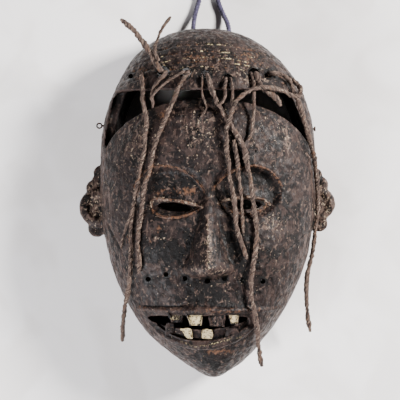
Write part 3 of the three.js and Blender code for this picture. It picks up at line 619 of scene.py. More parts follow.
def arch_point(turn):
    return ARCH["half_width"] * math.cos(turn), ARCH["y"] + ARCH["height"] * math.sin(turn)


def slot_outline():
    y, left, right, corner, out = (LIP[k] for k in ("y", "left", "right", "corner", "corner_out"))
    outline = [arch_point(ARCH_END), *SLOT_SIDES["right"][:-1]]
    outline += bezier([SLOT_SIDES["right"][-1], (right + out, y), (right - corner, y)], 6)
    outline += [(right - corner, y), (left + corner, y)]
    outline += bezier([(left + corner, y), (left - out, y), (left - corner, y - corner)], 6)[1:]
    outline += [(left - corner, y - corner), *SLOT_SIDES["left"]]
    return outline + [arch_point(t) for t in np.linspace(math.pi - ARCH_END, ARCH_END, 49)[:-1]]


def mouth_outline():
    left, right, top, corner, low = (MOUTH[k] for k in ("left", "right", "top_y", "corner_y", "lower_y"))
    reach = (right - left) / 5
    control = corner + (low - corner) * 4 / 3
    lower = bezier([(left, corner), (left + reach, control), (right - reach, control), (right, corner)], 24)
    return lower + bezier([(right, corner), ((left + right) / 2, 2 * top - corner), (left, corner)], 16)


def slit_point(eye, t, above, margin):
    """A point on the edge of an eye's slit, above (1) or below (-1), at t from 0 to 1."""
    along = (2 * t - 1) * (eye["half_width"] + margin)
    opening = (eye["open"] + margin) * math.cos((2 * t - 1) * math.pi / 2)
    return eye["x"] + along, eye["y"] + eye["tilt"] * along + above * opening


def slit_outline(eye):
    under = [slit_point(eye, t, -1, 0) for t in np.linspace(0, 1, 17)[:-1]]
    return under + [slit_point(eye, t, 1, 0) for t in np.linspace(1, 0, 17)[:-1]]


openings = [
    prism("slot", slot_outline(), SLOT_FLOOR_Z, CUT_TOP_Z),
    prism("mouth", mouth_outline(), OUTLINE_Z, CUT_TOP_Z),
    *(prism(f"slit_{i}", slit_outline(eye), OUTLINE_Z, CUT_TOP_Z) for i, eye in enumerate(EYES)),
]
print(len(openings), "openings through the front")

# %% Ears and lips
EAR_Z = 0.027
EAR_DISC = {"thickness": 0.015, "edge": 0.0025, "sides": 40}
EAR_LOBE = {"thickness": 0.01, "edge": 0.0015, "sides": 20}
EAR_STRIP = {"width": 0.009, "thickness": 0.008}
CONCHA = {"scale": 0.6, "depth": 0.0012}
EARS = [
    {
        "disc": (-0.0885, -0.0038, 0.015),
        "strip": (-0.087, -0.025, 0.027),
        "lobes": [
            (-0.0868, 0.0245, 0.0055), (-0.089, 0.018, 0.0046), (-0.0925, 0.0125, 0.0055),
            (-0.09, -0.0205, 0.0066),
        ],
    },
    {
        "disc": (0.0888, -0.0006, 0.0136),
        "strip": (0.086, -0.022, 0.026),
        "lobes": [(0.086, 0.0225, 0.0056), (0.0905, 0.0145, 0.0064), (0.0895, -0.0165, 0.0068)],
    },
]
UPPER_LIP = {"left": -0.057, "right": 0.058, "y": -0.0843, "corner_y": -0.083, "radius": 0.0026, "sag": 6}
LOWER_LIP = {"left": -0.047, "right": 0.038, "y": -0.1125, "corner_y": -0.095, "radius": 0.0034, "sag": 2.2}
RIDGE_END = 0.04  # share of a ridge's length over which it thins to its end
NO_TURN = 1e3


def surface_z(x, y):
    x, y = np.asarray(x, float), np.asarray(y, float)
    return egg_z(x, y) + relief(x, y)


def ear_disc(name, place, form, concha):
    """A round boss facing forward with a rounded front edge, hollowed by a shell if it is the ear."""
    x, y, radius = place
    bm = bmesh.new()
    bmesh.ops.create_cone(
        bm, cap_ends=True, segments=form["sides"], radius1=radius, radius2=radius, depth=form["thickness"]
    )
    front = max(bm.faces, key=lambda face: face.calc_center_median().z)
    bmesh.ops.bevel(
        bm, geom=front.edges[:], offset=form["edge"], segments=4, profile=0.5, affect="EDGES", material=-1
    )
    if concha:
        front = max(bm.faces, key=lambda face: face.calc_center_median().z)
        bmesh.ops.inset_region(bm, faces=[front], thickness=radius * (1 - CONCHA["scale"]) - form["edge"])
        bmesh.ops.inset_region(bm, faces=[front], thickness=CONCHA["depth"] / 2, depth=-CONCHA["depth"])
    bmesh.ops.translate(bm, vec=(x, y, EAR_Z), verts=bm.verts)
    return solid(name, bm)


def ear_strip(name, place):
    x, low_y, high_y = place
    bm = bmesh.new()
    bmesh.ops.create_cube(bm, size=1)
    size = (EAR_STRIP["width"], high_y - low_y, EAR_STRIP["thickness"])
    bmesh.ops.scale(bm, vec=size, verts=bm.verts)
    bmesh.ops.translate(bm, vec=(x, (low_y + high_y) / 2, EAR_Z), verts=bm.verts)
    return solid(name, bm)


def ridge(name, points, radius):
    """A rounded ridge along points on the surface, thinning at both ends."""
    line = smooth_line(points, RING_STEP)
    last = len(line) - 1

    def swell(i):
        return math.sqrt(math.sin(math.pi * min(max(i / last, RIDGE_END), 1 - RIDGE_END)))

    return add_object(name, cord_mesh(name, line, radius, lambda angle: 1, swell, NO_TURN))


def lip_line(lip, x):
    """The height of a lip's middle line over x."""
    t = np.clip((x - lip["left"]) / (lip["right"] - lip["left"]), 0, 1)
    return lip["corner_y"] + (lip["y"] - lip["corner_y"]) * (1 - np.abs(2 * t - 1) ** lip["sag"])


def lip_points(lip):
    x = np.linspace(lip["left"], lip["right"], 41)
    y = lip_line(lip, x)
    return np.stack([x, y, surface_z(x, y)], axis=1).tolist()


proud = [ridge(f"lip_{i}", lip_points(lip), lip["radius"]) for i, lip in enumerate((UPPER_LIP, LOWER_LIP))]
for i, ear in enumerate(EARS):
    proud.append(ear_disc(f"ear_{i}", ear["disc"], EAR_DISC, True))
    proud.append(ear_strip(f"ear_strip_{i}", ear["strip"]))
    proud += [ear_disc(f"lobe_{i}_{j}", lobe, EAR_LOBE, False) for j, lobe in enumerate(ear["lobes"])]
combine(mask, "UNION", proud)
bpy.context.view_layer.update()
hollow_tree = BVHTree.FromObject(hollow, bpy.context.evaluated_depsgraph_get())
combine(mask, "DIFFERENCE", [hollow, *openings])

# %% [markdown]
# Knife work leaves no machined edges. Remeshing the joined solid into an even net of small squares
# rounds every edge a little, as years of handling do, and gives the marks of the knife a net to
# stand on.

# %% Soften the carving
VOXEL = 0.00095
BACK_REACH = 0.0016  # the net is the back's where it lies this close to the hollow


def vertex_arrays(mesh):
    """The places and normals of a mesh's vertices, one row for each."""
    places, normals = np.empty(len(mesh.vertices) * 3), np.empty(len(mesh.vertices) * 3)
    mesh.vertices.foreach_get("co", places)
    mesh.vertex_normals.foreach_get("vector", normals)
    return places.reshape(-1, 3), normals.reshape(-1, 3)


def on_the_back(places):
    return np.array([hollow_tree.find_nearest(p, BACK_REACH)[0] is not None for p in places.tolist()])


remesh = mask.modifiers.new("even net", "REMESH")
remesh.mode = "VOXEL"
remesh.voxel_size = VOXEL
soften = mask.modifiers.new("soften", "SMOOTH")
soften.factor = 0.5
soften.iterations = 3
settle(mask)
print("even net:", len(mask.data.polygons), "faces")

# %% [markdown]
# Nothing on a hand-carved mask is quite even. Slow waves and shallow knife facets are pushed into the
# front, rows of nicks run round the hood, and drying has opened a few cracks. Each mark is a small
# height, and the vertices move by the sum of them. The gum, on which the lower teeth stand, is sunk
# straight down.

# %% Helpers for places on the face
def noise_over(places, size, seed):
    """Smooth noise from -1 to 1 at each place; its waves are about as long as size."""
    return np.array([noise.noise(Vector(p)) for p in (places / size + seed).tolist()])


def distance_to(x, y, line):
    """How far each place lies from a line of points, seen from the front."""
    nearest = np.ones_like(x)
    for (ax, ay), (bx, by) in zip(line, line[1:]):
        across, up = bx - ax, by - ay
        t = np.clip(((x - ax) * across + (y - ay) * up) / (across**2 + up**2), 0, 1)
        nearest = np.minimum(nearest, np.hypot(x - ax - t * across, y - ay - t * up))
    return nearest


print("noise at the nose, -1 to 1:", noise_over(np.array([[0, -0.045, 0.1]]), 0.028, 3))

# %% Marks of the knife and of age
HOOD_ROWS = [0.1256, 0.1198, 0.1149, 0.1118, 0.1075]  # heights of the rows over the middle
ROW_MIDDLE = -0.002
ROW_DROP = 3.3  # a row falls by this times the square of the distance from its middle
ROW_WIDTH, ROW_DEPTH, ROW_STRAY = 0.0007, 0.0006, 0.0009
DASH_LENGTH, WORN_LENGTH = 0.0036, 0.016
HOOD_NICK_Z = (0.04, 0.055)  # the rows fade out between these heights above the rim
CRACK_WIDTH, CRACK_DEPTH = 0.0007, 0.0008
CRACKS = [
    [(0.0805, -0.0225), (0.074, -0.0275), (0.0665, -0.034), (0.0625, -0.0365)],
    [(-0.0835, -0.004), (-0.0795, -0.018), (-0.073, -0.03), (-0.067, -0.041), (-0.0625, -0.056)],
    [(-0.051, -0.0815), (-0.036, -0.0812), (-0.021, -0.0808)],
]
NOSE_CREST = {"width": 0.0022, "rise": 0.001, "low_y": -0.05, "high_y": -0.012, "fade": 0.008}
LID_SLOPE = {"reach": 0.0045, "depth": 0.0016}
GUM = {"left": -0.04, "right": 0.032, "top_y": -0.0925, "above_lip": 0.0042, "edge": 0.0008, "depth": 0.0042}
GUM_REACH = (0.012, 0.007)  # how far below the front the gum's sinking ends and is whole


def hood_dashes(places):
    """1 in the nicks of the rows that run round the hood, 0 between them."""
    marks = np.zeros(len(places))
    hood = np.flatnonzero((places[:, 1] > LIP["y"]) & (places[:, 2] > HOOD_NICK_Z[0]))
    x, y = places[hood, 0], places[hood, 1]
    for i, row in enumerate(HOOD_ROWS):
        worn = noise_over(places[hood] * (1, 0, 0), WORN_LENGTH, 31 + 5 * i)
        from_row = y - row + ROW_DROP * (x - ROW_MIDDLE) ** 2 + ROW_STRAY * worn
        dash = smooth(-0.3, 0, noise_over(places[hood] * (1, 0, 0), DASH_LENGTH, 17 + 9 * i) + worn / 2)
        marks[hood] = np.maximum(marks[hood], bell(from_row / ROW_WIDTH) * dash)
    return marks * smooth(*HOOD_NICK_Z, places[:, 2])


def knife_marks(places):
    """The height of each mark, along the surface's own direction."""
    x, y = places[:, 0], places[:, 1]
    waves = 0.0006 * noise_over(places, 0.028, 3) + 0.0004 * noise_over(places, 0.009, 5)
    facets = 0.0005 * np.abs(noise_over(places * (1, 0.6, 1), 0.005, 11))
    scratches = 0.00012 * noise_over(places * (1, 0.4, 1), 0.0022, 23)
    along_nose = smooth(NOSE_CREST["low_y"] - NOSE_CREST["fade"], NOSE_CREST["low_y"], y)
    along_nose *= 1 - smooth(NOSE_CREST["high_y"] - NOSE_CREST["fade"], NOSE_CREST["high_y"], y)
    crest = NOSE_CREST["rise"] * bell(x / NOSE_CREST["width"]) * along_nose
    cracks = sum(CRACK_DEPTH * bell(distance_to(x, y, line) / CRACK_WIDTH) for line in CRACKS)
    for eye in EYES:
        up = (y - eye["y"] - eye["tilt"] * (x - eye["x"])) / (eye["open"] + LID_SLOPE["reach"])
        across = (x - eye["x"]) / (eye["half_width"] + LID_SLOPE["reach"])
        cracks += LID_SLOPE["depth"] * (1 - smooth(0.5, 1, np.hypot(across, up)))
    return waves + facets + scratches + crest - cracks - ROW_DEPTH * hood_dashes(places)


def gum_depth(places):
    x, y, z = places.T
    edge = GUM["edge"]
    across = smooth(GUM["left"] - edge, GUM["left"] + edge, x)
    across *= 1 - smooth(GUM["right"] - edge, GUM["right"] + edge, x)
    lip = lip_line(LOWER_LIP, x) + GUM["above_lip"]
    up = smooth(lip - edge, lip + edge, y) * (1 - smooth(GUM["top_y"], GUM["top_y"] + edge, y))
    below = surface_z(x, y) - z
    return GUM["depth"] * across * up * (1 - smooth(GUM_REACH[1], GUM_REACH[0], below))


places, normals = vertex_arrays(mask.data)
front = 1 - on_the_back(places)
moved = places + normals * (knife_marks(places) * front)[:, None]
moved[:, 2] -= gum_depth(places) * front
moved[:, 2] = np.where(places[:, 2] < 1e-4, places[:, 2], np.maximum(moved[:, 2], 0))
mask.data.vertices.foreach_set("co", moved.ravel())
mask.data.update()
print("largest move, mm:", round(float(np.abs(moved - places).max()) * 1000, 2))

# %% [markdown]
# The back is plain, so its net may be coarse. Collapsing short edges there first, and then the flatter
# places of the front, keeps the squares for the marks that show.

# %% Thin the net
BACK_SHARE = 0.6  # what the first step leaves of all the triangles, by thinning the back alone
TRIANGLES_LEFT = 160000

mask.vertex_groups.new(name="back").add(np.flatnonzero(on_the_back(moved)).tolist(), 1, "REPLACE")
thin = mask.modifiers.new("thin the back", "DECIMATE")
thin.ratio = BACK_SHARE
thin.vertex_group = "back"
settle(mask)
mask.vertex_groups.clear()
mask.data.calc_loop_triangles()
thin = mask.modifiers.new("thin the front", "DECIMATE")
thin.ratio = min(1, TRIANGLES_LEFT / len(mask.data.loop_triangles))
print("back thinned:", len(mask.data.loop_triangles), "triangles")
settle(mask)
print("both thinned:", len(mask.data.polygons), "triangles")

# %% [markdown]
# The brow lines and the rims round the eyes are fine raised ridges, narrower than the net. They are
# modelled as thin rolls half sunk in the surface and joined to it, and the teeth are set in the
# mouth the same way. The small holes are drilled last, so that their edges stay crisp.

# %% Brow lines and eye rims
BROW = [(0.0004, 0.004), (0.01, 0.031), (0.054, 0.044), (0.061, 0.003)]
BROW_RADIUS, RIM_RADIUS = 0.0009, 0.0014
ROLL_SINK = 0.0001
LAID_STEP = 0.0018
RIMS = [
    [(-0.0445, -0.003), (-0.0452, 0.0005), (-0.043, 0.003), (-0.0395, 0.0036), (-0.0355, 0.0028),
     (-0.0296, 0.0022), (-0.0225, 0.0016), (-0.016, 0.0002), (-0.0096, -0.0016), (-0.0043, -0.0028)],
    [(-0.0452, 0), (-0.0446, -0.0038), (-0.0425, -0.0074), (-0.0381, -0.0102), (-0.0316, -0.0115),
     (-0.0238, -0.0112), (-0.0166, -0.0094), (-0.0108, -0.0071), (-0.0043, -0.0034)],
    [(0.0077, 0.0002), (0.0135, 0.0022), (0.0186, 0.0036), (0.0265, 0.0046), (0.0366, 0.0046),
     (0.0433, 0.0027), (0.0478, -0.001)],
    [(0.0077, -0.0002), (0.011, -0.0028), (0.015, -0.0052), (0.0201, -0.0072), (0.0302, -0.0088),
     (0.0374, -0.0074), (0.0433, -0.0044), (0.0478, -0.0006)],
]


def laid_on(tree, line):
    """Points close together along a flat line, let down on the front and sunk a little."""
    flat = smooth_line([(x, y, CUT_TOP_Z) for x, y in line], LAID_STEP)
    hits = [tree.ray_cast(point, Vector((0, 0, -1)))[0] for point in flat]
    return [(hit.x, hit.y, hit.z - ROLL_SINK) for hit in hits]


bpy.context.view_layer.update()
face_tree = BVHTree.FromObject(mask, bpy.context.evaluated_depsgraph_get())
BROWS = [[(side * x, y) for x, y in bezier(BROW, 12)] for side in (-1, 1)]
rolls = [ridge(f"brow_{i}", laid_on(face_tree, line), BROW_RADIUS) for i, line in enumerate(BROWS)]
rolls += [ridge(f"rim_{i}", laid_on(face_tree, line), RIM_RADIUS) for i, line in enumerate(RIMS)]
combine(mask, "UNION", rolls)

# %% Teeth
UPPER_ROOT_Y, LOWER_ROOT_Y = -0.086, -0.107
TOOTH = {"depth": 0.008, "upper_back": 0.0015, "lower_back": 0.0004, "bevel": 0.0011}
TOOTH |= {"uneven": 0.0009, "uneven_length": 0.0035, "painted": 0.0036}
TEETH = [  # left and right of the root, left and right of the tip, height of the tip and of the root
    (-0.0313, -0.0194, -0.0284, -0.0213, -0.0927, UPPER_ROOT_Y),
    (-0.0172, -0.0045, -0.0138, -0.0058, -0.0952, UPPER_ROOT_Y),
    (0.001, 0.0129, 0.0022, 0.0116, -0.0957, UPPER_ROOT_Y),
    (0.0165, 0.0238, 0.0182, 0.0228, -0.094, UPPER_ROOT_Y),
    (-0.0346, -0.0252, -0.033, -0.0268, -0.0942, LOWER_ROOT_Y),
    (-0.0164, -0.0122, -0.0224, -0.0132, -0.0986, LOWER_ROOT_Y),
    (-0.0051, 0.0035, -0.0046, 0.0031, -0.0992, LOWER_ROOT_Y),
    (0.0129, 0.0249, 0.0146, 0.0237, -0.0984, LOWER_ROOT_Y),
]
PALE_TEETH = {0: 0.45, 1: 1, 3: 0.95, 5: 0.85, 6: 1}  # how much of the clay is left on each


def tooth(name, root_left, root_right, tip_left, tip_right, tip_y, root_y):
    """A block that follows the slope of the lips, narrows towards its tip and has worn edges."""
    bm = bmesh.new()
    bmesh.ops.create_cube(bm, size=1)
    middle = (root_left + root_right) / 2
    back = TOOTH["upper_back"] if tip_y < root_y else TOOTH["lower_back"]
    for vertex in bm.verts:
        at_tip, at_right, at_front = (value > 0 for value in (vertex.co.y, vertex.co.x, vertex.co.z))
        x = (tip_right if at_right else tip_left) if at_tip else (root_right if at_right else root_left)
        y = tip_y if at_tip else root_y
        z = float(surface_z(middle, y)) - back - (0 if at_front else TOOTH["depth"])
        vertex.co = (x, y, z)
    bmesh.ops.bevel(
        bm, geom=bm.edges[:], offset=TOOTH["bevel"], segments=3, profile=0.5, affect="EDGES", material=-1
    )
    bmesh.ops.subdivide_edges(bm, edges=bm.edges[:], cuts=3, use_grid_fill=True)
    return solid(name, bm)


teeth = [tooth(f"tooth_{i}", *row) for i, row in enumerate(TEETH)]
for i, piece in enumerate(teeth):
    roughen(piece.data, TOOTH["uneven"], TOOTH["uneven_length"], i)
combine(mask, "UNION", teeth)

# %% Drill the holes
LIP_HOLES = [
    (-0.0615, 0.1007, 0.002), (-0.0528, 0.1022, 0.0026), (-0.0355, 0.1038, 0.0048),
    (-0.017, 0.103, 0.0041), (-0.002, 0.1007, 0.0041), (0.0156, 0.098, 0.0036),
    (0.036, 0.102, 0.0046), (0.0488, 0.102, 0.003), (0.065, 0.0985, 0.0026),
]
BEARD_HOLES = [
    (-0.0473, -0.06, 0.002), (-0.0332, -0.056, 0.002), (-0.0182, -0.0592, 0.002),
    (-0.0005, -0.061, 0.0022), (0.0128, -0.0592, 0.002), (0.0266, -0.0605, 0.002),
    (0.043, -0.0616, 0.002),
]
STRING_HOLES = [(-0.0115, 0.0028), (0.017, 0.0028)]
STRING_HOLE = {"z": 0.01, "from_y": 0.112, "to_y": 0.146}
PIN_HOLES = [((-0.0778, 0.062, 0.036), (-0.0932, 0.062, 0.036)), ((0.078, 0.0595, 0.036), (0.0934, 0.0595, 0.036))]
PIN_HOLE_RADIUS = 0.0014


def drill(name, start, end, radius):
    """A round cutter from start to end."""
    start, end = Vector(start), Vector(end)
    bm = bmesh.new()
    bmesh.ops.create_cone(
        bm, cap_ends=True, segments=18, radius1=radius, radius2=radius, depth=(end - start).length
    )
    turn = (end - start).to_track_quat("Z", "Y").to_matrix().to_4x4()
    bmesh.ops.transform(bm, matrix=Matrix.Translation((start + end) / 2) @ turn, verts=bm.verts)
    return solid(name, bm)


holes = [
    drill(f"hole_{i}", (x, y, OUTLINE_Z), (x, y, CUT_TOP_Z), radius)
    for i, (x, y, radius) in enumerate(LIP_HOLES + BEARD_HOLES)
]
for i, (x, radius) in enumerate(STRING_HOLES):
    low, high = (x, STRING_HOLE["from_y"], STRING_HOLE["z"]), (x, STRING_HOLE["to_y"], STRING_HOLE["z"])
    holes.append(drill(f"string_hole_{i}", low, high, radius))
holes += [drill(f"pin_hole_{i}", *ends, PIN_HOLE_RADIUS) for i, ends in enumerate(PIN_HOLES)]
for i, eye in enumerate(EYES):  # the net has rounded the slits' narrow ends, so they are cut once more
    holes.append(prism(f"slit_again_{i}", slit_outline(eye), OUTLINE_Z, CUT_TOP_Z))
combine(mask, "DIFFERENCE", holes)
mask.data.shade_smooth()
mask.data.set_sharp_from_angle(angle=math.radians(60))
mask.data.calc_loop_triangles()
print("the mask has", len(mask.data.loop_triangles), "triangles")
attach(mask, "root")
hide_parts("mask_body")

# %% [markdown]
# Age colours a mask by place. Hands polish what stands proud, dust and soot stay in the hollows, and
# white clay and red earth were rubbed on some parts. Some of the same numbers also carry painted light:
# painted shade beside and under the nose, under the hood's lip, in the holes and inside the mask, and a
# painted highlight along the nose's crest. Each is measured or placed here as a number at every vertex,
# and the finish of the wood reads those numbers.

# %% Hollows and edges
SMOOTHINGS = 10
HOLLOW_UNIT = 0.0005  # a vertex this far below its smoothed place is fully in a hollow


def smoothed(values, edges, times):
    """Values averaged with those of their neighbours, a number of times."""
    count = np.bincount(edges.ravel(), minlength=len(values))[:, None]
    for _ in range(times):
        total = np.zeros_like(values)
        np.add.at(total, edges[:, 0], values[edges[:, 1]])
        np.add.at(total, edges[:, 1], values[edges[:, 0]])
        values = (values + total / count) / 2
    return values


places, normals = vertex_arrays(mask.data)
edges = np.empty(len(mask.data.edges) * 2, dtype=np.int32)
mask.data.edges.foreach_get("vertices", edges)
edges = edges.reshape(-1, 2)
sunk = ((smoothed(places, edges, SMOOTHINGS) - places) * normals).sum(axis=1) / HOLLOW_UNIT
print("hollow vertices:", int((sunk > 1).sum()), "edge vertices:", int((sunk < -1).sum()))

# %% Where earth, clay, dust and soot lie, and where shade and a highlight are painted
EARTH_PATCHES = [  # x, y, half width, half height, strength
    (0.032, 0.115, 0.02, 0.009, 0.55), (-0.0088, 0.115, 0.016, 0.0025, 0.75),
    (-0.0537, 0.104, 0.008, 0.007, 0.7), (-0.0356, 0.0693, 0.006, 0.006, 0.7),
    (-0.0167, 0.0095, 0.011, 0.004, 0.85), (-0.036, 0.009, 0.009, 0.003, 0.6),
    (-0.0464, -0.0302, 0.003, 0.0025, 0.8), (-0.0644, -0.0282, 0.003, 0.0025, 0.8),
    (-0.0391, -0.0197, 0.0016, 0.005, 0.8), (0.0079, -0.1174, 0.018, 0.0026, 0.75),
]
DUST_AND_HIGHLIGHT_PATCHES = [
    (0.0298, 0.0969, 0.005, 0.006, 0.9), (0.045, 0.098, 0.003, 0.004, 0.9),
    (-0.0049, 0.0575, 0.014, 0.022, 0.5), (0.0487, 0.0536, 0.022, 0.018, 0.3),
    (0.0613, 0.0496, 0.0035, 0.013, 0.8), (0.05, -0.018, 0.012, 0.01, 0.55),
    (-0.0364, -0.0279, 0.011, 0.0012, 1), (0, -0.052, 0.016, 0.005, 0.6),
    # The first patch on this line, along the nose's crest, is a painted highlight; the others are dust.
    (0.0005, -0.03, 0.0028, 0.022, 1), (-0.004, -0.036, 0.004, 0.014, 0.4),
    (0, 0.112, 0.05, 0.016, 0.3), (-0.056, 0.05, 0.018, 0.026, 0.4),
    (-0.093, 0, 0.01, 0.03, 0.7), (0.093, 0, 0.01, 0.03, 0.7),
]
# Soot on the cheeks and chin, darker eye sockets, and painted shade: beside the nose, under the nose and under the
# hood's lip.
SOOT_AND_SHADE_PATCHES = [
    (-0.032, -0.037, 0.024, 0.013, 0.9), (0.028, -0.034, 0.014, 0.022, 0.8),
    (-0.029, 0.013, 0.024, 0.015, 0.8), (0.031, 0.014, 0.024, 0.015, 0.8),
    (0.004, -0.128, 0.016, 0.01, 0.8), (0, -0.072, 0.03, 0.009, 0.7), (0, 0.083, 0.06, 0.006, 0.8),
    (-0.0165, -0.03, 0.004, 0.016, 0.9), (0.0175, -0.03, 0.004, 0.016, 0.9),
    (0, -0.064, 0.02, 0.003, 0.8),
]
CLAY_LINE = [(-0.0224, -0.1088), (-0.012, -0.1132), (-0.0032, -0.1125), (0.0256, -0.1052)]
BAND = 0.0016  # how far from a brow or rim its red earth reaches
ROW_TINT_LENGTH = 0.009  # the rows of nicks hold clay or earth over stretches of this length


def patches(x, y, rows):
    """The strongest of the patches at each place, fading out from their middles."""
    cover = np.zeros_like(x)
    for middle_x, middle_y, half_width, half_height, strength in rows:
        reach = np.hypot((x - middle_x) / half_width, (y - middle_y) / half_height)
        cover = np.maximum(cover, strength * bell(reach))
    return cover


def pale_teeth(places):
    """How much clay is left at each place on the teeth, 0 elsewhere."""
    x, y, z = places.T
    near = TOOTH["uneven"] / 2
    shallow = (z > surface_z(x, y) - TOOTH["painted"]) & (y < MOUTH["top_y"])
    clay = np.zeros(len(places))
    for i, strength in PALE_TEETH.items():
        root_left, root_right, tip_left, tip_right, tip_y, root_y = TEETH[i]
        t = (y - root_y) / (tip_y - root_y)
        left, right = root_left + t * (tip_left - root_left), root_right + t * (tip_right - root_right)
        clay[(x > left - near) & (x < right + near) & (t > 0) & (t < 1.1) & shallow] = strength
    return clay


# %% Store them on the mask
def store(mesh, name, values):
    mesh.attributes.new(name, "FLOAT", "POINT").data.foreach_set("value", np.asarray(values, np.float32))
    print(name, "covers", round(float(np.mean(values)) * 100), "% of the vertices")


x, y, z = places.T
front = 1 - on_the_back(places)
near_line = np.min([distance_to(x, y, line) for line in BROWS + RIMS], axis=0)
near_lid = np.min([distance_to(x, y, RIMS[i]) for i in (0, 2)], axis=0)
lips = 0.4 * (1 - smooth(0.7, 1.1, np.abs(y - lip_line(UPPER_LIP, x)) / UPPER_LIP["radius"]))
lips[(x < UPPER_LIP["left"]) | (x > UPPER_LIP["right"])] = 0
dashes = hood_dashes(places)
pale_rows = smooth(-0.15, 0.15, noise_over(places, ROW_TINT_LENGTH, 47)) * (1 - 0.5 * smooth(0.03, 0.05, np.abs(x)))
bands = 0.65 * (1 - smooth(BAND * 0.6, BAND, near_line)) * smooth(0.0005, 0.003, np.abs(x))
earth = np.maximum(patches(x, y, EARTH_PATCHES), bands)
earth = np.maximum(earth, 0.7 * dashes * (1 - pale_rows))
dust = np.maximum(patches(x, y, DUST_AND_HIGHLIGHT_PATCHES), 0.8 * (1 - smooth(BAND * 0.6, BAND, near_lid)))
# In and round the drilled holes, away falls to 0: the tan edges are left out there, and the holes get painted shade.
near_hole = np.min([np.hypot(x - hx, y - hy) - radius for hx, hy, radius in LIP_HOLES + BEARD_HOLES], axis=0)
away = np.where(z > OUTLINE_Z, smooth(0.0008, 0.003, near_hole), 1)
# A pale streak on the nose's crest is a painted highlight, stored with the clay.
crest = 0.35 * bell(x / NOSE_CREST["width"]) * smooth(-0.056, -0.05, y) * (1 - smooth(-0.016, -0.008, y))
clay = np.maximum(crest, 0.7 * dashes * pale_rows)
clay = np.maximum(clay, 0.45 * bell(distance_to(x, y, CLAY_LINE) / 0.0016))
store(mask.data, "edge", np.clip(-sunk, 0, 1) * front * away)
store(mask.data, "cavity", np.clip(sunk, 0, 1) * front)
store(mask.data, "earth", np.maximum(earth, lips) * front)
store(mask.data, "clay", np.maximum(pale_teeth(places), clay * front))
store(mask.data, "dust", dust * front)
# Soot, and painted shade from the patches and in and round the drilled holes.
store(mask.data, "soot", np.maximum(patches(x, y, SOOT_AND_SHADE_PATCHES), 1 - away) * front)
streaked = (1 - smooth(0.35, 0.7, normals[:, 2])) * (1 - 0.8 * smooth(0.095, 0.125, y))
store(mask.data, "side", streaked * front)
# The inside and the back; the finish darkens them as raw wood and as painted shade in the hollow.
store(mask.data, "back", 1 - front)

# %% [markdown]
# Every finish here is natural and uneven, so each is built the same way: a base colour, and other
# colours laid over it wherever a noise pattern is high enough. The sizes of a pattern are real ones,
# so wood gets long streaks and dust gets specks. A measured number may raise a pattern at its place.

# %% Helpers for finishes
def linear(hex_colour):
    """An sRGB hex colour as linear red, green, blue and alpha."""
    values = [int(hex_colour[i : i + 2], 16) / 255 for i in (1, 3, 5)]
    return (*(v / 12.92 if v <= 0.04045 else ((v + 0.055) / 1.055) ** 2.4 for v in values), 1)


def add_node(material, kind, inputs, **settings):
    """Add a node with its settings; an input is a value, or the socket that it is linked to."""
    node = material.node_tree.nodes.new(kind)
    for name, value in settings.items():
        setattr(node, name, value)
    for name, value in inputs.items():
        if isinstance(value, bpy.types.NodeSocket):
            material.node_tree.links.new(value, node.inputs[name])
        else:
            node.inputs[name].default_value = value
    return node


def layered(material, place, base, layers):
    """Colours laid over each other. A layer is its colour, the size of its pattern along each axis in
    mm, the attribute that raises the pattern and by how much, and where it starts and is whole."""
    colour = linear(base)
    for i, (shade, sizes, attribute, gain, start, whole) in enumerate(layers):
        spread = {"Vector": place, "Scale": [1000 / size for size in sizes], "Location": (i * 5.3, 0, 0)}
        moved = add_node(material, "ShaderNodeMapping", spread)
        pattern = {"Vector": moved.outputs[0], "Scale": 1, "Detail": 2, "Roughness": 0.55, "Distortion": 0.6}
        value = add_node(material, "ShaderNodeTexNoise", pattern).outputs[0]
        if attribute:
            measured = add_node(material, "ShaderNodeAttribute", {}, attribute_name=attribute)
            raised = {0: measured.outputs["Fac"], 1: gain, 2: value}
            value = add_node(material, "ShaderNodeMath", raised, operation="MULTIPLY_ADD").outputs[0]
        limits = {"Value": value, "From Min": start, "From Max": whole}
        cover = add_node(material, "ShaderNodeMapRange", limits, interpolation_type="SMOOTHSTEP")
        mixed = {0: cover.outputs[0], 6: colour, 7: linear(shade)}
        colour = add_node(material, "ShaderNodeMix", mixed, data_type="RGBA").outputs[2]
    return colour


def bumpy(material, place, bumps):
    """Stack bumps: each is the size of its pattern along each axis in mm, and its height in mm."""
    normal = None
    for i, (sizes, height) in enumerate(bumps):
        spread = {"Vector": place, "Scale": [1000 / size for size in sizes], "Location": (0, i * 7.1, 0)}
        moved = add_node(material, "ShaderNodeMapping", spread)
        pattern = {"Vector": moved.outputs[0], "Scale": 1, "Detail": 4, "Roughness": 0.65}
        noise_node = add_node(material, "ShaderNodeTexNoise", pattern)
        shape = {"Strength": 1, "Distance": height / 1000, "Height": noise_node.outputs[0]}
        if normal:
            shape["Normal"] = normal
        normal = add_node(material, "ShaderNodeBump", shape).outputs[0]
    return normal


def patchy_shine(material, place, sizes, glossy, dull):
    """A roughness that wanders between two values over a pattern of these sizes in mm."""
    spread = {"Vector": place, "Scale": [1000 / size for size in sizes]}
    moved = add_node(material, "ShaderNodeMapping", spread)
    pattern = add_node(material, "ShaderNodeTexNoise", {"Vector": moved.outputs[0], "Scale": 1})
    limits = {"Value": pattern.outputs[0], "From Min": 0.4, "From Max": 0.6, "To Min": glossy, "To Max": dull}
    return add_node(material, "ShaderNodeMapRange", limits).outputs[0]


